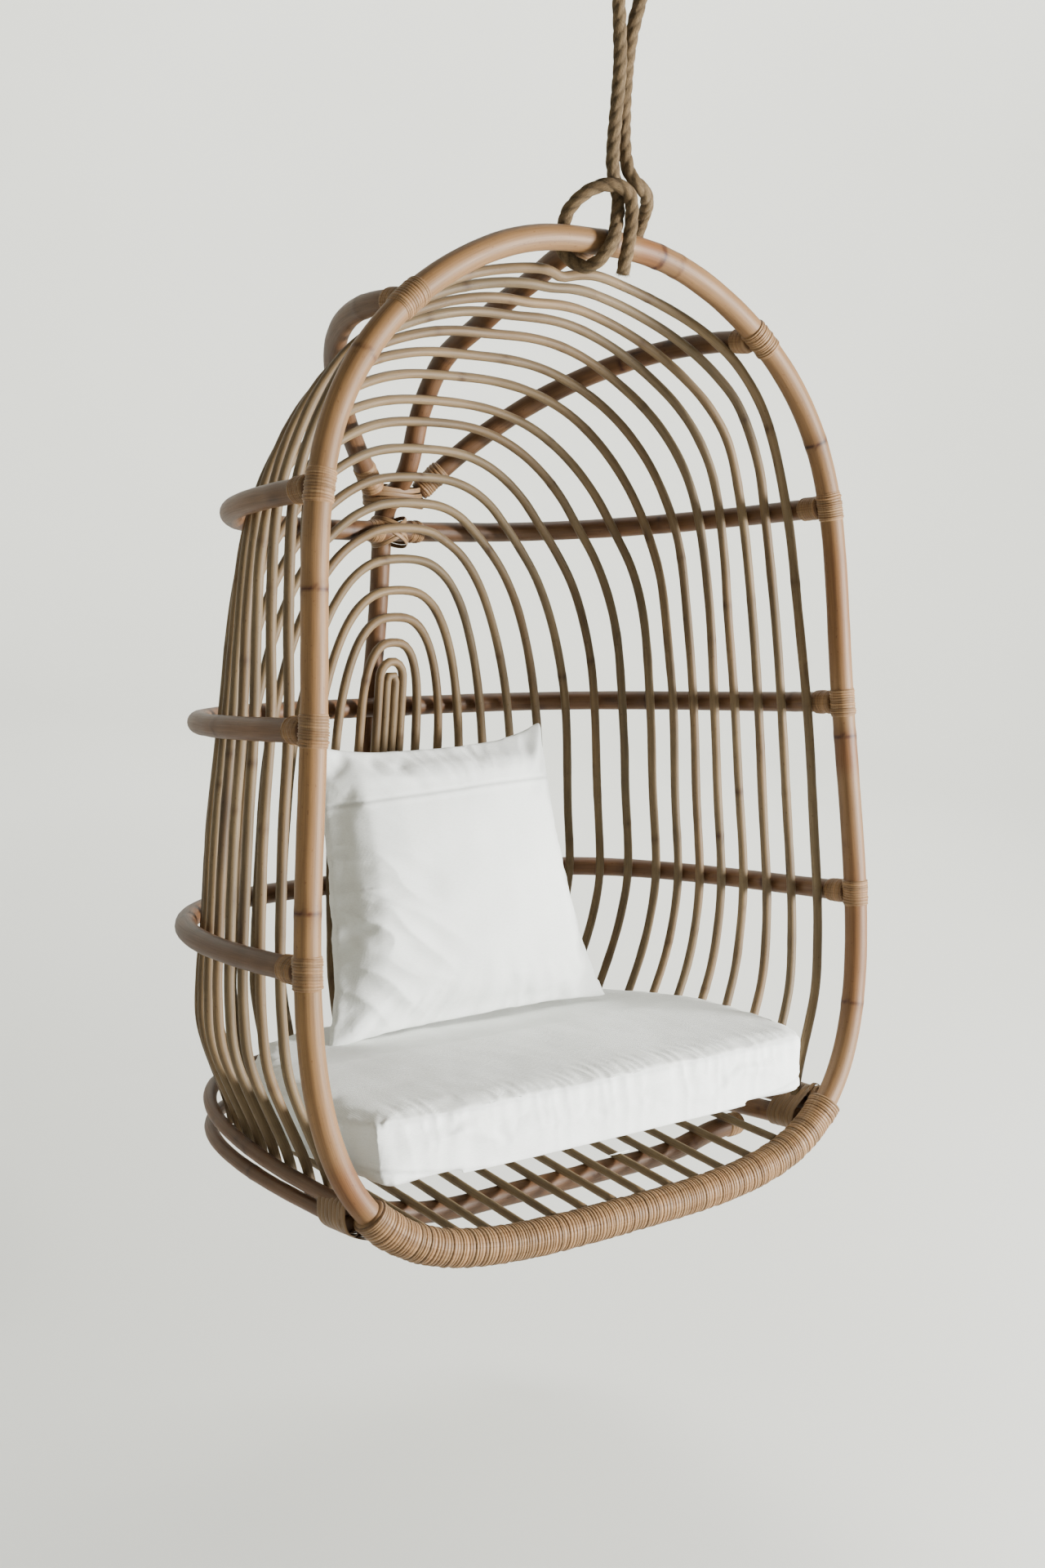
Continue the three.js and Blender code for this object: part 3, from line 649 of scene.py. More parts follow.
def make_joint_bindings():
    for i, band in enumerate(BANDS.values()):
        for side, tag in ((1, "right"), (-1, "left")):
            z = band["z"]
            binding(f"joint_{i + 1}_{tag}", hoop_part(side, z - 19, z + 19), ROUND_HOOP, 0.0048, 0.0015,
                    80 + 2 * i + side)
    for side, tag in ((1, "right"), (-1, "left")):
        binding(f"joint_rib_{tag}", hoop_part(side, 1092, 1119), ROUND_HOOP, 0.0048, 0.0015, 95 + side)


# ------------------------------------------------------------------------ the wrap
def make_wrap():
    wrapped = HOOP_HALF[HOOP_HALF[:, 2] <= 82]
    line = np.vstack([wrapped[::-1], wrapped[1:] * np.array([-1, 1, 1])])
    # gap sets the painted shade in the grooves between the turns
    obj = binding("front_wrap", place(line), 0.0208, 0.0046, 0.0018, 7, sides=26, shades=0.27, slope=0.35,
                  gap=0.88)
    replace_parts(obj, "front_rail_wrap")


# ------------------------------------------------------------------ dome of canes
DOME = np.array([  # height, depth, squareness, rise
    (75, 504, 4.4, 62), (220, 516, 3.9, 36), (364, 514, 3.3, 16), (500, 505, 3.2, 8), (628, 485, 3.1, 2),
    (760, 465, 2.9, -9), (893, 436, 2.65, -20), (953, 404, 2.45, -6), (1020, 363, 2.25, 10),
    (1076, 315, 2.07, 9), (1120, 236, 1.95, -4), (1150, 179, 1.88, -13), (1172, 126, 1.82, -20),
    (1190, 68, 1.8, -25), (1200, 66, 1.8, -28)], float)
LEG_SHARES = [0.027, 0.064, 0.116, 0.166, 0.222, 0.281, 0.337, 0.392, 0.45,
              0.506, 0.563, 0.61, 0.659, 0.709, 0.76, 0.817, 0.876, 0.938]
CROWNS = [706, 735, 775, 815, 863, 906, 932, 961, 990, 1018, 1043, 1075, 1103, 1131, 1154, 1169, 1184, 1197]
LEG_HEIGHTS = [75, 105, 220, 290, 364, 500, 628, 760, 890]
HALF_GIRTH = 756
FOOT_HEIGHT = 75


def dome_point(height, share):
    foot = 362 + 0.1 * (height - FOOT_HEIGHT)
    hoop = hoop_half_width(height) - 22.5
    half_width = max(hoop, foot) if height < 130 else hoop
    depth, squareness, rise = [float(np.interp(height, DOME[:, 0], DOME[:, k])) for k in (1, 2, 3)]
    angle = np.linspace(0, math.pi / 2, 61)
    x = half_width * np.sin(angle) ** (2 / squareness)
    y = depth * np.abs(np.cos(angle)) ** (2 / squareness)
    d = np.concatenate([[0], np.cumsum(np.hypot(np.diff(x), np.diff(y)))])
    wanted = abs(share) * d[-1]
    px, py = float(np.interp(wanted, d, x)), float(np.interp(wanted, d, y))
    return (math.copysign(px, share) if share else 0.0, py, height + rise * (py / depth) ** 2)


def swept_in(height, share):
    up = min(max((height - FOOT_HEIGHT) / (364 - FOOT_HEIGHT), 0), 1)
    across = min(max((share - 0.05) / 0.83, 0), 1)
    return 70 / HALF_GIRTH * math.sin(math.pi * across) * (1 - up) ** 1.3


def arch_path(share, crown, curve_steps):
    half_span = share * HALF_GIRTH
    narrow = half_span < 25
    arch = 1.2 * half_span if narrow else min(3 * half_span, 560 - 7.6e-4 * half_span ** 2)
    across, upward = (1, 1) if narrow else (2 / 2.73, 2 / 3)
    spring = crown - arch

    def drawn_in(height):
        return 1 - 0.025 * min(max((height - 628) / (893 - 628), 0), 1)

    def half(side):
        out = []
        for height in [h for h in LEG_HEIGHTS if h < spring - 35]:
            swept = swept_in(height, share) if side > 0 else 0
            out.append(dome_point(height, side * (share * drawn_in(height) - swept)))
        for i in range(curve_steps):
            angle = (math.pi / 2) * (i / curve_steps) ** 0.9
            height = spring + arch * math.sin(angle) ** upward
            out.append(dome_point(height, side * share * drawn_in(height) * math.cos(angle) ** across))
        return out

    return half(1) + [dome_point(crown, 0)] + half(-1)[::-1]


def make_arches():
    sides = 12
    plan = [("hairpin_cane", 0.0092, 685, 4)]
    plan += [(f"arch_cane_{i + 1:02d}", s, CROWNS[i], 7 if i < 5 else 10) for i, s in enumerate(LEG_SHARES)]
    for i, (name, share, crown, steps) in enumerate(plan):
        line = catmull(arch_path(share, crown, steps), 10)
        path = spaced(place(line), 0.009)
        d = lengths_of(path)
        # each cane wavers a little, less at its feet and hardly at all where canes crowd
        sway = min(share * 0.010, 0.0022)
        fade = np.clip(np.minimum(d, d[-1] - d) / 0.12, 0, 1)
        t = frames_along(path)[0]
        out = path - np.array([0.0, 0.05, -1.0])
        out /= np.linalg.norm(out, axis=1)[:, None]
        sidewise = np.cross(t, out)
        path = path + sidewise * (sway * fade * wander(d, 0.17, 300 + i))[:, None]
        rings = some_rings(d[-1], 0.23, 400 + i, 0.55)
        tint = pole_tint(path, sides, 500 + i, rings, patches=0.17, warm=0.14, specks=6)
        rng = np.random.default_rng(700 + i)
        if rng.uniform() < 0.45 and share > 0.25:  # a streak of dark staining low on the left leg
            at = d[-1] - rng.uniform(0.28, 0.62)
            streak = bell(d, at, rng.uniform(0.02, 0.06))[:, None]
            around = (0.5 + 0.5 * np.cos(angles(sides) - rng.uniform(0, 6)))[None]
            tint *= 1 - 0.5 * (streak * around)[:, :, None] * np.array([0.9, 1, 1])
        radius = node_radius(path, CANE_RADIUS / 1000, rings, 0.0004, 0.005, seed=i)
        obj = tube(name + "_stem", path, radius, sides, CANE, tint=tint)
        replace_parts(obj, name)


# ------------------------------------------------------------------ spine and ribs
def spine_line():
    touching = []
    for height in (1172, 1150, 1120, 1076, 1020, 960):
        here, above = np.array(dome_point(height, 0)), np.array(dome_point(height + 4, 0))
        outward = -np.array([0, here[2] - above[2], above[1] - here[1]])
        outward /= np.linalg.norm(outward)
        point = here + outward * (CANE_RADIUS + BAND_RADIUS + 2.4)
        touching.append((0, point[1], point[2]))
    return [(0, 16.3, 1199), (0, 70, 1194), *touching, (0, 478, 914), (0, 490, 872), (0, 504, 784),
            (0, 522, 700), (0, 539, 636), (0, 560, 500), (0, 568, 382), (0, 562, 250), (0, 549, 140),
            (0, 547, 80)]


def rib_line(side):
    a, b, c, d = [np.array(p, float) * (side, 1, 1) for p in (
        (274, 18, 1106), (286, 160, 1132), (186, 362, 1108), (38, 447, 941))]
    t = np.linspace(0, 1, 60)[:, None]
    return (1 - t) ** 3 * a + 3 * (1 - t) ** 2 * t * b + 3 * (1 - t) * t ** 2 * c + t ** 3 * d


LOOP = np.linspace(0, 2 * math.pi, 17)[:-1]


def make_spine_and_ribs():
    spine = catmull(spine_line(), 10)
    pole("spine_pole", spine, BAND_RADIUS, "spine", DARK_POLE, 51, every=0.33, patches=0.15, warm=0.12,
         specks=14, depth=0.7)
    for side, tag in ((-1, "left"), (1, "right")):
        line = rib_line(side)
        pole(f"{tag}_rib_pole", line, BAND_RADIUS, f"{tag}_rib", DARK_POLE, 55 + side, every=0.28,
             patches=0.16, warm=0.10, specks=8, depth=0.7)
        total = lengths_of(line)[-1]
        binding(f"{tag}_rib_front_end", place(part_of(line, 0, 26)), ROUND_BAND, 0.0056, 0.0015, 63 + side)
        binding(f"{tag}_rib_back_end", place(part_of(line, total - 46, total - 2)), ROUND_BAND, 0.0062,
                0.0017, 67 + side)
    d = lengths_of(spine)
    crossing = float(np.interp(-UPPER_BAND["z"], -spine[:, 2], d))
    binding("spine_knot_upper", place(part_of(spine, crossing - 62, crossing - 40)), ROUND_SPINE, 0.0075,
            0.0018, 71)
    # strips round the ribs' back ends and the spine
    for k in range(4):
        points = [(47 * math.cos(q), 457 + 29 * math.sin(q),
                   923 + 7.4 * k + 5 * math.sin(q) + 1.5 * math.sin(3 * q + k)) for q in LOOP]
        ribbon_loop(f"rib_lashing_{k + 1}", points, (0, 0, 1), 3.5, 0.9, 90 + k, 0.92 + 0.05 * (k % 2))
    # an X of strips over the upper band and the spine
    for i, lean in enumerate((1, -1)):
        across = np.array([math.sin(math.radians(62)) * lean, 0, math.cos(math.radians(62))])
        along = np.array([across[2], 0, -across[0]])
        deep = np.array([0, 1, 0]) * (27.5 + 1.2 * i)
        for k in range(3):
            centre = np.array([0, 470.5, 885]) + along * (k - 1) * 6.4
            points = [centre + across * 31 * math.cos(q) + deep * math.sin(q) for q in LOOP]
            ribbon_loop(f"cross_lashing_{i + 1}_{k + 1}", points, along, 3.0, 0.8, 96 + 3 * i + k, 0.92)
    path = band_path(half_width=hoop_half_width(UPPER_BAND["z"]), start=15.9, **UPPER_BAND)
    half_way = lengths_of(path)[-1] / 2
    for tag, start in (("right", -44), ("left", 22)):
        at = half_way + start
        binding(f"band_knot_{tag}", place(part_of(path, at, at + 22)), ROUND_SPINE, 0.0062, 0.0015,
                77 + start)
    foot = d[-1]
    binding("spine_foot_binding", place(part_of(spine, foot - 40, foot - 6)), ROUND_SPINE, 0.0062, 0.0017, 73)
    binding("spine_top_binding", place(part_of(spine, 1, 26)), ROUND_SPINE, 0.0056, 0.0015, 74)


# --------------------------------------------------------------------------- seat
SLAT_COUNT = 13
SLAT_PITCH = 48
SLAT_RADIUS = 5.3
SLAT_START, SLAT_END = 13, 445


def dish(x):
    return 27 * (max(abs(x) - 150, 0) / 138) ** 2


def slat_height(x, y):
    return 16 + 0.17 * y + dish(x) * (1 - y / 480)


def make_seat():
    for i in range(SLAT_COUNT):
        x = SLAT_PITCH * (i - SLAT_COUNT // 2)
        ends = [(x, SLAT_START, slat_height(x, SLAT_START) - 1.5), (x, SLAT_END, slat_height(x, SLAT_END))]
        line = np.linspace(ends[0], ends[1], 20)
        pole(f"slat_{i + 1:02d}_stem", line, SLAT_RADIUS, f"slat_{i + 1:02d}", CANE, 210 + i, every=0.2,
             sides=12, step=0.012, patches=0.15, warm=0.10)
    for name, y, half in (("front_cross_bar", 127, 330), ("rear_cross_bar", 429, 290)):
        xs = np.linspace(-half, half, 13)
        line = catmull([(x, y, slat_height(min(abs(x), 288), y) - 20.7) for x in xs], 8)
        pole(name + "_pole", line, BAND_RADIUS, name, DARK_POLE, 230 + y, every=0.22, patches=0.2, warm=0.12,
             specks=16, depth=0.8)
        total = lengths_of(line)[-1]
        for i, (tag, a) in enumerate((("left", 2), ("right", total - 26))):
            binding(f"{name}_{tag}_end", place(part_of(line, a, a + 24)), ROUND_BAND, 0.0058, 0.0015, 240 + i)


def make_seat_rails():
    for side, tag in ((-1, "left"), (1, "right")):
        line = np.linspace((350 * side, 27, 57), (350 * side, 165, 57), 30)
        pole(f"{tag}_seat_rail_pole", line, BAND_RADIUS, f"{tag}_seat_rail", DARK_POLE, 250 + side, every=0.2,
             patches=0.2, warm=0.12, specks=12, depth=0.7)
        # broad strips hold it up against the two base rails
        for k in range(6):
            y = 29 + 8.3 * k
            outline = [(384, 96), (392, 91), (394.5, 80), (394.5, 68), (389, 58), (374, 48), (356, 42),
                       (344, 42.5), (336, 50), (334.5, 60), (340, 70), (352, 80), (374, 93.5)]
            points = [(side * x, y + 0.05 * (z - 60) + 0.5 * math.sin(k * 2 + z / 9), z)
                      for x, z in outline]
            ribbon_loop(f"{tag}_seat_rail_strip_{k + 1}", points, (0, 1, 0), 4.3, 0.8, 260 + k,
                        0.74 + 0.08 * (k % 2))


def make_corner_lashings():
    for side, tag in ((1, "right"), (-1, "left")):
        # strips round both rails, close to the post
        for k in range(3):
            y = 18 + 4.6 * k
            outline = [(383, 96.5), (391, 93), (394.5, 76), (391, 60), (383, 55.5), (375, 60), (372, 76),
                       (375, 93)]
            points = [(side * x, y + 1.8 * math.sin(2.2 * k + z / 11), z + 0.45 * (y - 20))
                      for x, z in outline]
            ribbon_loop(f"rail_lashing_{tag}_{k + 1}", points, (0, 1, 0.2), 2.7, 0.8, 140 + k,
                        0.80 + 0.05 * (k % 3))


# --------------------------------------------------------------------------- rope
ROPE_ROUTE = [
    (61, 32, -3), (80, 25, 6), (84, 20, 27), (79, 8, 42), (68, -7, 53), (51, -20, 64), (35, -22, 72),
    (29, -15, 82), (27, -2, 113), (22, 3, 206), (24, 2, 245), (32, 1, 298), (26, 0, 316), (12, 0, 322),
    (-2, 0, 316), (-8, -1, 298), (0, -2, 245), (5, -4, 203), (7, -7, 93), (16, -5, 69), (21, -7, 54),
    (19, -12, 37), (13, -19, 20), (5, -26, 4), (-2, -24, -11), (-7, -13, -25), (-13, 2, -31),
    (-21, 15, -26), (-29, 25, -15), (-33, 28, 0), (-33, 24, 15), (-35, 18, 28), (-33, 8, 41),
    (-25, -1, 53), (-11, -10, 63), (3, -18, 66), (16, -24, 63), (25, -26, 54), (27, -30, 20),
    (21, -31, -35)]
ROPE_RADIUS = 0.0085
ROPE_PITCH = 0.052  # one full turn of its three strands
HAIRS, BRUSH = 1500, 260  # loose fibres along the rope, and at each end


def make_rope():
    route = np.array(ROPE_ROUTE, float) + (SIDE_SHIFT, 0, -DROP)
    path = spaced(catmull(route, 12) / 1000, 0.0022)
    d = lengths_of(path)
    sides = 36
    strands = angles(sides)[None, :] * 3 - d[:, None] / ROPE_PITCH * 2 * np.pi * 3
    lobe = np.abs(np.cos(strands / 2)) ** 0.55
    # yarns run the other way inside each strand
    yarn = np.sin(strands * 3 + d[:, None] * 900)
    r = ROPE_RADIUS * (0.80 + 0.19 * lobe + 0.018 * yarn * lobe) + 0.0002 * wander(d, 0.006, 3)[:, None]
    r = r * (1 + 0.02 * wander(d, 0.02, 4))[:, None]
    # painted shade: the tint is darkest in the grooves between the strands and between the yarns, lightest on
    # the strands' crowns
    shade = 0.45 + 0.62 * lobe + 0.10 * yarn * lobe
    shade = shade * (1 + 0.12 * wander(d, 0.02, 6))[:, None]
    warm = 0.5 + 0.5 * wander(d, 0.05, 8)
    tint = shade[:, :, None] * (1 - 0.10 * warm[:, None, None] * np.array([0, 0.5, 1.0]))
    rope = tube("rope_line", path, r, sides, JUTE, tint=np.clip(tint, 0.1, 1.6))
    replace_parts(rope, "rope")
    # loose fibres along it and a brush of them at both ends
    rng = np.random.default_rng(21)
    t, a, b = frames_along(path)
    verts, faces, shades = [], [], []

    def hair(start, direction, bend, length, width, tone):
        side = np.cross(direction, bend)
        side /= max(np.linalg.norm(side), 1e-6)
        rows = []
        for k in range(5):
            q = k / 4
            centre = start + direction * length * q + bend * length * 0.55 * q * q
            w = width * (1 - 0.8 * q)
            rows.append((centre - side * w, centre + side * w))
        base = len(verts)
        for p, q in rows:
            verts.extend((p, q))
            shades.extend((tone, tone))
        for k in range(4):
            i = base + 2 * k
            faces.append((i, i + 1, i + 3, i + 2))

    for _ in range(HAIRS):
        i = int(rng.integers(2, len(path) - 2))
        w = rng.uniform(0, 2 * np.pi)
        out = math.cos(w) * a[i] + math.sin(w) * b[i]
        lean = rng.choice((-1, 1)) * t[i]
        direction = out * rng.uniform(0.25, 0.8) + lean * rng.uniform(0.4, 1)
        direction /= np.linalg.norm(direction)
        bend = rng.normal(0, 1, 3)
        bend /= np.linalg.norm(bend)
        hair(path[i] + out * ROPE_RADIUS * 0.86, direction, bend, rng.uniform(0.002, 0.0065), 0.00011,
             rng.uniform(0.8, 1.8))
    for end, sign in ((0, -1), (len(path) - 1, 1)):
        for _ in range(BRUSH):
            w, rad = rng.uniform(0, 2 * np.pi), ROPE_RADIUS * math.sqrt(rng.uniform(0, 0.92))
            out = math.cos(w) * a[end] + math.sin(w) * b[end]
            start = path[end] + out * rad - t[end] * sign * 0.001
            direction = t[end] * sign + 0.35 * out * rad / ROPE_RADIUS
            direction = direction + rng.normal(0, 0.10, 3)
            direction /= np.linalg.norm(direction)
            bend = rng.normal(0, 0.5, 3)
            hair(start, direction, bend, rng.uniform(0.0015, 0.0048), 0.00022, rng.uniform(0.5, 1.5))
    fuzz = mesh_object("rope_fibres", verts, faces, JUTE, "chair", smooth=False,
                       uv=[(0, 0)] * (4 * len(faces)), tint=np.repeat(np.array(shades)[:, None], 3, 1))


make_rope()
make_hoop()
make_bands()
make_joint_bindings()
make_wrap()
make_arches()
make_spine_and_ribs()
make_seat()
make_seat_rails()
make_corner_lashings()


# ------------------------------------------------------------------------ cushions
def own_copy(node, name):
    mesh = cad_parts[node].data.copy()
    mesh.name = name
    mesh.materials.clear()
    return new_object(name, mesh)


def apply_modifiers(obj):
    depsgraph = bpy.context.evaluated_depsgraph_get()
    mesh = bpy.data.meshes.new_from_object(obj.evaluated_get(depsgraph))
    obj.modifiers.clear()
    obj.data = mesh


def coords(obj):
    co = np.zeros(len(obj.data.vertices) * 3)
    obj.data.vertices.foreach_get("co", co)
    return co.reshape(-1, 3)


def set_coords(obj, co):
    obj.data.vertices.foreach_set("co", np.asarray(co, float).ravel())
    obj.data.update()


def normals_of(obj):
    out = np.zeros(len(obj.data.vertices) * 3, np.float32)
    obj.data.vertices.foreach_get("normal", out)
    return out.reshape(-1, 3).astype(float)


def modified(obj, kind, **settings):
    modifier = obj.modifiers.new(kind.lower(), kind)
    for key, value in settings.items():
        setattr(modifier, key, value)
    apply_modifiers(obj)


CLOTH_FRAMES = 20
CLOTH_STIFFNESS = 18


def inflate(obj, pressure, cap, shrink=0.0):
    """Blows the pad up by cloth, with each point's move capped, and keeps the result in the mesh."""
    before = coords(obj)
    cloth = obj.modifiers.new("cloth", "CLOTH")
    settings = cloth.settings
    settings.quality = 5
    settings.mass = 0.25
    settings.tension_stiffness = CLOTH_STIFFNESS
    settings.compression_stiffness = CLOTH_STIFFNESS
    settings.shear_stiffness = 6
    settings.bending_stiffness = 0.25
    settings.use_pressure = True
    settings.uniform_pressure_force = pressure
    settings.shrink_min = shrink
    settings.effector_weights.gravity = 0
    cloth.point_cache.frame_start = 1
    cloth.point_cache.frame_end = CLOTH_FRAMES
    scene = bpy.context.scene
    for f in range(1, CLOTH_FRAMES + 1):
        scene.frame_set(f)
    apply_modifiers(obj)
    scene.frame_set(1)
    move = coords(obj) - before
    far = np.linalg.norm(move, axis=1)
    keep = np.where(far > cap, cap / np.maximum(far, 1e-9), 1.0)
    set_coords(obj, before + move * keep[:, None])


def finish_cloth(obj, material, tint):
    mesh = obj.data
    mesh.polygons.foreach_set("use_smooth", np.ones(len(mesh.polygons), bool))
    paint(mesh, np.clip(tint, 0, 1.3))
    mesh.materials.clear()
    mesh.materials.append(material)


def to_chair(co):
    """Row frame, metres, back to the chair's own frame, millimetres."""
    p = np.asarray(co) * 1000
    c, s = math.cos(LEAN), math.sin(LEAN)
    y, z = p[:, 1], p[:, 2] + DROP
    return np.stack([p[:, 0] - SIDE_SHIFT, y * c - z * s, y * s + z * c + HOOP_TOP], 1)


def chair_normals(obj):
    return normals_of(obj) @ turn(np.eye(3)).T


def folds(seed, *axes):
    """Smooth noise from -1 to 1, at points given by their coordinates on three axes."""
    shift = Vector((seed * 3.1, seed * 1.7, -seed))
    points = np.stack(np.broadcast_arrays(*axes), 1).astype(float)
    return np.array([noise.noise(Vector(p) + shift) for p in points])


def ridges(sharpness, seed, *axes):
    """Crests where the same noise passes through zero."""
    return 1 - np.abs(folds(seed, *axes)) * sharpness


CUSHION_DEPTH = 458
CUSHION_BASE = 350  # half the width of its underside
CUSHION_BOTTOM, CUSHION_TOP = 74, 176  # heights at the front


def make_seat_cushion():
    obj = own_copy("seat_cushion", "seat_cushion_cover")
    modified(obj, "REMESH", mode="VOXEL", voxel_size=0.0055)
    co = to_chair(coords(obj))
    middle = co.mean(0)
    co = middle + (co - middle) * np.array([1 - 2 / 383, 1 - 2 / 228, 1.0])  # room for it to swell
    set_coords(obj, place(co))
    modified(obj, "SMOOTH", iterations=2, factor=0.5)
    inflate(obj, 3.2, 0.005)
    modified(obj, "SUBSURF", levels=1, render_levels=1)
    co = to_chair(coords(obj))
    n = chair_normals(obj)
    x, y, z = co.T
    back = np.clip(y / CUSHION_DEPTH, 0, 1)
    aside = np.clip(np.abs(x) / CUSHION_BASE, 0, 1)
    bottom = CUSHION_BOTTOM + 30 * back + 30 * aside ** 3 * (1 - back)
    top = CUSHION_TOP + (21 + 17 * aside ** 2) * back
    up = (z - bottom) / (top - bottom)
    upright = np.clip(1 - np.abs(n[:, 2]) * 1.3, 0, 1)
    along = np.where(np.abs(n[:, 1]) > np.abs(n[:, 0]), x, y + 700)
    # gathers hang from the top seam down the boxing
    gather = ridges(2.2, 2, along / 24, up * 0.5, 0)
    broad = folds(5, along / 75, up * 0.6, back)
    depth = 2.6 * (0.35 + bell(up, 0.9, 0.35)) + bell(up, 0.12, 0.16)
    push = upright * (gather * depth + 3.2 * broad)
    # the top is nearly flat, with short puckers behind its front seam
    flat = np.clip(n[:, 2], 0, 1) ** 2
    pucker = ridges(2.2, 8, x / 17, y / 110, 0) * bell(y, 0, 42)
    swell = folds(11, x / 130, y / 100, 0)
    push = push + flat * (2.0 * pucker + 2.6 * swell + 0.5 * folds(14, x / 30, y / 45, 0))
    # a seam near each edge of the boxing, with a ridge over the lower one
    level = (z - bottom) - 1.5 * np.sin(along / 60)
    seam_low = bell(level, 17, 2.4) * upright
    seam_top = bell(up, 0.955, 0.022) * np.clip(upright * 1.4, 0, 1)
    push = push - 1.9 * seam_low - 1.0 * seam_top + 0.7 * bell(level, 21.5, 2.2) * upright
    set_coords(obj, place(co + n * push[:, None]))
    tint = np.ones((len(co), 3))
    # painted shade: the cover is tinted darker along both seams of the boxing, in their grooves
    tint *= 1 - 0.20 * np.clip(seam_low, 0, 1)[:, None] - 0.10 * seam_top[:, None]
    # painted shade: the upward faces are tinted darker and a little warmer than the boxing, as the top gets
    # less light than the front
    tint *= 1 - flat[:, None] * np.array([0.10, 0.105, 0.13])
    finish_cloth(obj, COTTON, tint)
    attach(obj, "cushion")
    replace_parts(obj, "seat_cushion")
    # a few loose threads at the front's top seam
    rng = np.random.default_rng(5)
    for i, x0 in enumerate((-196, -150, 8, 30, 46, 150)):
        points = [np.array([x0, 3.0, CUSHION_TOP - 0.5])]
        heading = rng.uniform(-1, 1)
        for k in range(7):
            heading += rng.uniform(-0.9, 0.9)
            deep = -0.4 if k < 2 else 1.6 * math.cos(heading)
            points.append(points[-1] + np.array([3.4 * math.sin(heading), deep, 0.9 - 0.32 * k]))
        path = spaced(place(catmull(points, 6)), 0.001)
        tube(f"loose_thread_{i + 1}", path, 0.00028, 6, COTTON, body="cushion")


PILLOW_AT = np.array([6.0, 355.0, 407.0])
PILLOW_TURN = (Matrix.Rotation(math.radians(-10), 3, "X") @ Matrix.Rotation(math.radians(-1), 3, "Y")
               @ Matrix.Rotation(math.radians(-2), 3, "Z"))
PILLOW_AXES = np.array(PILLOW_TURN)
PILLOW_HALF = (216, 205)  # half its width and height
PILLOW_TAPER = 0.08
PILLOW_SEAM = 120  # the front panel's seam, above the middle


def to_pillow(obj):
    return (to_chair(coords(obj)) - PILLOW_AT) @ PILLOW_AXES


def make_pillow():
    obj = own_copy("pillow", "pillow_cover")
    modified(obj, "REMESH", mode="VOXEL", voxel_size=0.005)
    local = to_pillow(obj) * np.array([0.99, 1.0, 0.99])
    set_coords(obj, place(local @ PILLOW_AXES.T + PILLOW_AT))
    modified(obj, "SMOOTH", iterations=2, factor=0.5)
    inflate(obj, 4.0, 0.010, shrink=0.01)
    modified(obj, "SMOOTH", iterations=6, factor=0.5)
    modified(obj, "SUBSURF", levels=1, render_levels=1)
    local = to_pillow(obj)
    n = chair_normals(obj) @ PILLOW_AXES
    x, y, z = local.T
    v = z / PILLOW_HALF[1]
    u = x / (PILLOW_HALF[0] * (1 - PILLOW_TAPER * v))
    rim = np.maximum(np.abs(u), np.abs(v))
    corner = np.clip((np.abs(u) * np.abs(v) - 0.55) / 0.4, 0, 1)
    # folds run in from the corners and along the edges
    angle = np.arctan2(v, u)
    radial = folds(3, angle * 6.5, rim * 1.3, np.sign(y))
    crease = ridges(2.4, 9, angle * 9, rim * 2.0, np.sign(y))
    waves = folds(12, x / 85, z / 60, np.sign(y))
    outer = np.clip((rim - 0.45) / 0.5, 0, 1)
    face = np.clip(np.abs(n[:, 1]) * 1.3, 0, 1)
    front = (y < 0) * face
    push = face * (3.0 * radial * outer + 1.5 * crease * outer ** 2 + 3.0 * waves * (1 - 0.5 * outer))
    # deeper folds at the lower left
    low_left = np.exp(-(((u + 0.62) / 0.33) ** 2 + ((v + 0.35) / 0.5) ** 2))
    slant = ridges(2.4, 17, (x * 0.55 + z * 0.85) / 34, (x - z) / 150, 0)
    push = push + front * low_left * 6.0 * slant
    level = z - PILLOW_SEAM - 4 * np.sin(x / 120)
    seam = bell(level, 0, 2.6) * front
    push = push - 1.6 * seam + 0.9 * bell(level, -6, 4.0) * front
    local = local + n * push[:, None]
    # the flat sewn edge, pulled into small ears at the corners
    pull = 1 + 0.035 * corner
    local[:, 0] *= pull
    local[:, 2] *= pull
    upper_ear = (np.clip(u, 0, 1) * np.clip(v, 0, 1)) ** 4
    lower_ear = (np.clip(u, 0, 1) * np.clip(-v, 0, 1)) ** 5
    local[:, 2] += 13 * upper_ear
    local[:, 0] += 9 * lower_ear
    at_edge = np.clip((rim - 0.88) / 0.1, 0, 1)
    local[:, 1] += at_edge * 5.0 * folds(21, angle * 7, 0, 0)
    # its weight fills the hollow along the bottom edge and sinks it into the cushion
    local[:, 2] -= 9 + 14 * np.clip(1 - u ** 2, 0, 1) * np.clip(-v, 0, 1) ** 3
    local[:, 2] += at_edge * (v < -0.5) * 2.6 * folds(23, x / 26, 0, 0)
    set_coords(obj, place(local @ PILLOW_AXES.T + PILLOW_AT))
    # painted shade: the front is tinted darker along its seam, in the groove
    tint = np.ones((len(local), 3)) * (1 - 0.16 * seam[:, None])
    finish_cloth(obj, PILLOW_COTTON, tint)
    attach(obj, "pillow_body")
    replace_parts(obj, "pillow")


make_seat_cushion()
make_pillow()


# ------------------------------------------------------------------------ fittings
def ring_faces(rings, segments):
    """Quads between the rings of a turned shape."""
    faces = []
    for i in range(0, (rings - 1) * segments, segments):
        for k in range(segments):
            k2 = (k + 1) % segments
            faces.append((i + k, i + k2, i + segments + k2, i + segments + k))
    return faces


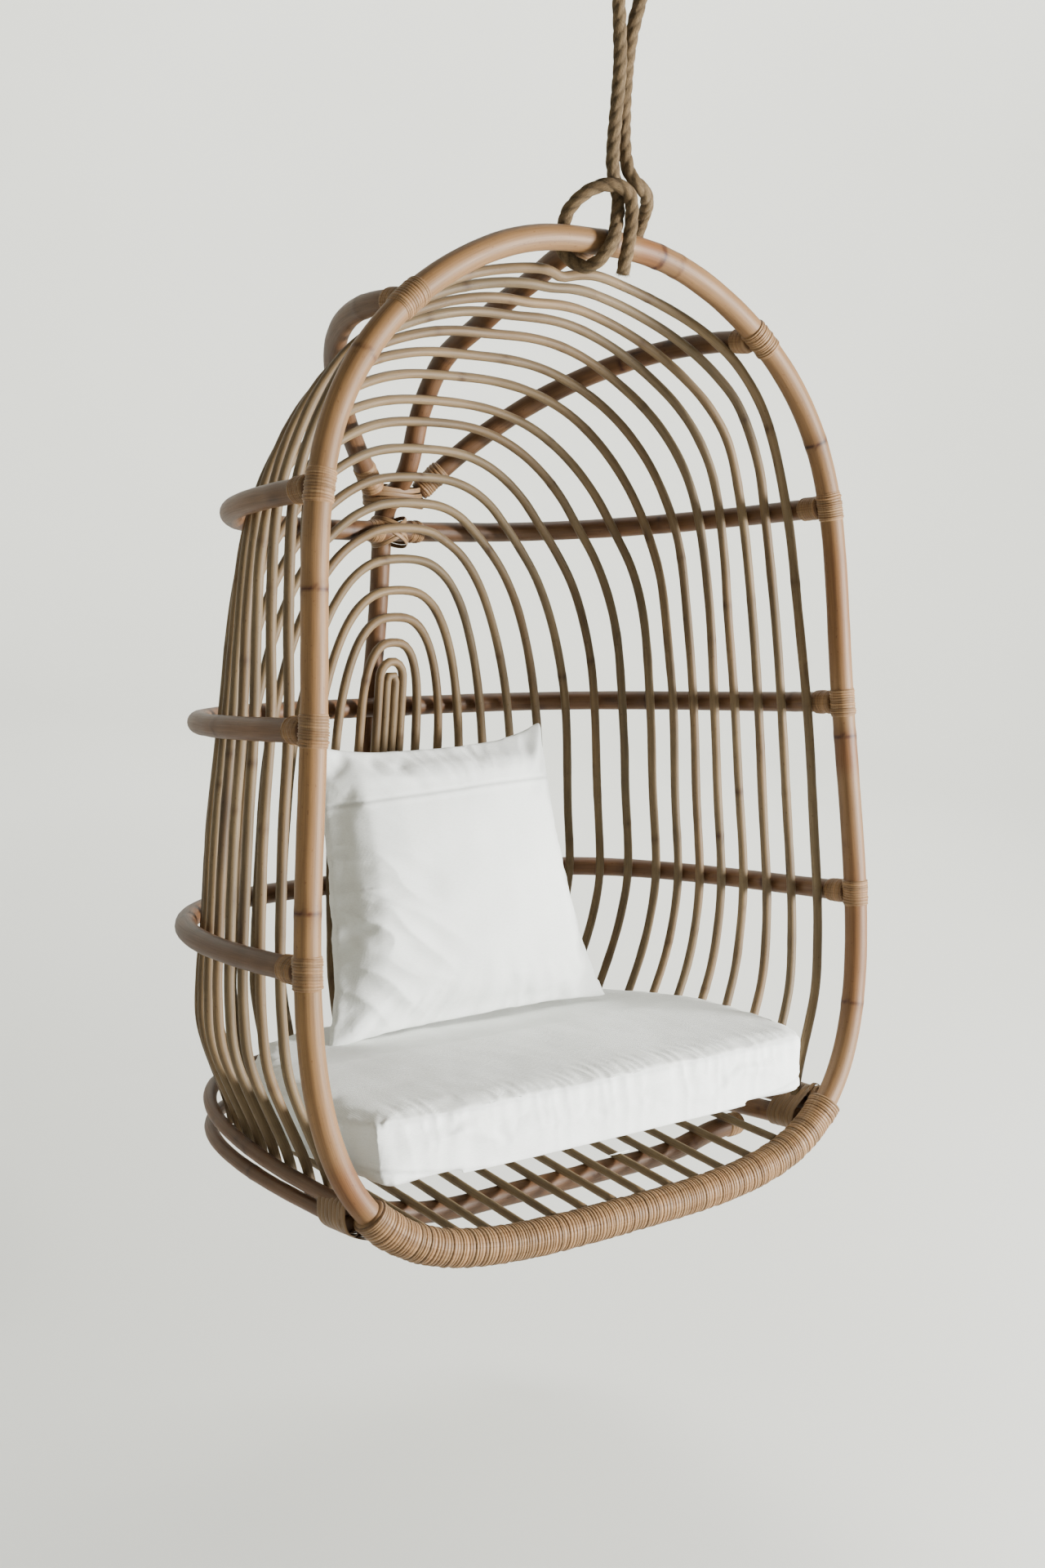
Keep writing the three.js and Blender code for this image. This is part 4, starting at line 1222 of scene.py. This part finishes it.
def lathe(name, profile, material, body, at=(0, 0, 0), segments=64):
    """Turned about Z. profile is [(radius, z)] in millimetres; sharp corners get a small bevel."""
    pts = []
    for i, (r, z) in enumerate(profile):
        if 0 < i < len(profile) - 1:
            here = np.array([r, z], float)
            for other in (profile[i - 1], profile[i + 1]):
                way = np.array(other, float) - here
                length = np.linalg.norm(way)
                pts.append(tuple(here + way / length * min(0.5, 0.3 * length)))
        else:
            pts.append((r, z))
    verts = []
    for r, z in pts:
        for k in range(segments):
            w = 2 * math.pi * k / segments
            verts.append((at[0] + r * math.cos(w) / 1000, at[1] + r * math.sin(w) / 1000, at[2] + z / 1000))
    faces = ring_faces(len(pts), segments)
    return mesh_object(name, verts, faces, material, body, uv=[(0, 0)] * (4 * len(faces)))


WIRE_RADIUS = 0.005
EYE_RADIUS, EYE_CENTRE = 15, -60
HOOK_TOP, HOOK_END_RADIUS, HOOK_STRAIGHT = -64.6, 16, 60.5
GATE_LENGTH, GATE_RADIUS = 32, 4.2


def make_fittings():
    plate = lathe("ceiling_plate_body", [(0, 0), (48, 0), (48, -6), (0, -6)], BLACK, "mounting", segments=96)
    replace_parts(plate, "ceiling_plate")
    for i, eighth in enumerate((1, 3, 5, 7)):
        w = eighth * math.pi / 4
        at = (0.034 * math.cos(w), 0.034 * math.sin(w), 0)
        head = [(0, -0.4), (2.5, -0.4), (2.5, -6.4), (5, -6.4), (5, -7.9), (3, -9.6), (1.4, -9.9),
                (1.2, -8.6), (0, -8.6)]
        screw = lathe(f"screw_{i + 1}", head, STEEL, "mounting", at, 32)
        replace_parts(screw, f"ceiling_screw_{i + 1}")
    housing = lathe("swivel_body", [(15, -6.4), (15, -30.4), (7, -30.4), (7, -36.4), (16, -36.4), (21, -31.4),
                                    (21, -6.4), (15, -6.4)], BLACK, "mounting")
    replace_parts(housing, "swivel_housing")
    lathe("swivel_stem", [(0, -45.5), (6, -45.5), (6, -30), (13, -30), (13, -21), (0, -21)], STEEL, "swivel")
    w = np.linspace(0, 2 * math.pi, 65)
    ring = np.stack([EYE_RADIUS * np.sin(w), 0 * w, EYE_CENTRE + EYE_RADIUS * np.cos(w)], 1) / 1000
    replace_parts(tube("swivel_ring", ring, WIRE_RADIUS, 20, STEEL, "swivel"), "swivel_eye")
    end = HOOK_END_RADIUS
    upper = HOOK_TOP - end
    lower = upper - HOOK_STRAIGHT
    gate_top = upper - 6
    path = [(0, -end, gate_top + 0.4)]
    path += [(0, end * math.cos(q), upper + end * math.sin(q)) for q in np.linspace(math.pi, 0, 15)]
    path += [(0, end, upper - HOOK_STRAIGHT * k / 6) for k in range(1, 6)]
    path += [(0, end * math.cos(q), lower + end * math.sin(q)) for q in np.linspace(0, -math.pi, 15)]
    path += [(0, -end, gate_top - GATE_LENGTH - 0.4)]
    path = spaced(catmull(path, 6) / 1000, 0.0012)
    hook = tube("hook_body", path, WIRE_RADIUS, 24, STEEL, "hook", first=(1, 0, 0))
    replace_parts(hook, "snap_hook")
    z = np.linspace(gate_top, gate_top - GATE_LENGTH, 40)
    share = np.linspace(0, 1, 40)
    end_of = np.clip(1 - np.minimum(share, 1 - share) * GATE_LENGTH / GATE_RADIUS, 0, 0.995)
    r = GATE_RADIUS / 1000 * np.sqrt(1 - end_of ** 2) - 0.0005 * bell(share, 0.22, 0.02)
    gate = tube("gate_body", np.stack([0 * z, 0 * z - end, z], 1) / 1000, r, 24, STEEL, "gate")
    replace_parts(gate, "hook_gate")


make_fittings()


# ------------------------------------------------------------------- floor, lights
def make_floor():
    material, tree, shader = node_tree("floor")
    place_of = add(tree, "ShaderNodeTexCoord").outputs["Object"]
    patch = noise_of(tree, place_of, 0.8, 2, 0.5)
    colour = ramp(tree, patch, [(0.3, (0.640, 0.645, 0.605)), (0.7, (0.665, 0.670, 0.632))])
    tree.links.new(colour, shader.inputs["Base Color"])
    settle(shader, Roughness=0.9, Specular_IOR_Level=0.15)
    radius, rise = 7.5, 2.6
    bend = np.linspace(0, math.pi / 2, 14)
    profile = [(0, 0)]
    profile += [(radius - rise + rise * math.sin(q), rise - rise * math.cos(q)) for q in bend]
    profile += [(radius, 9.0)]
    segments = 96
    floor_z = CAD_BOX[0].z - 0.42
    verts = [(r * math.cos(w), r * math.sin(w), floor_z + z) for r, z in profile for w in angles(segments)]
    mesh_object("floor", verts, ring_faces(len(profile), segments), material, None)


def area_light(name, at, aim, size, power, colour):
    data = bpy.data.lights.new(name, "AREA")
    data.shape = "DISK"
    data.size = size
    data.energy = power
    data.color = colour
    light = new_object(name, data)
    light.location = at
    light.rotation_mode = "QUATERNION"
    light.rotation_quaternion = (Vector(aim) - Vector(at)).to_track_quat("-Z", "Y")


make_floor()
area_light("key", (2.7, -3.5, -0.5), (0, 0, -1.1), 1.3, 900, (1.0, 0.995, 0.975))
area_light("over", (0.8, 1.6, 3.4), (0, 0, -1.2), 4.0, 10, (1.0, 1.0, 1.0))
area_light("backdrop", (1.7, 2.1, 3.3), (5.0, 6.2, -0.9), 3.2, 640, (1.0, 1.0, 0.97))
world = bpy.context.scene.world or bpy.data.worlds.new("world")
bpy.context.scene.world = world
world.use_nodes = True
sky = next(n for n in world.node_tree.nodes if n.type == "BACKGROUND")
settle(sky, Color=(0.93, 0.95, 0.95, 1), Strength=0.22)
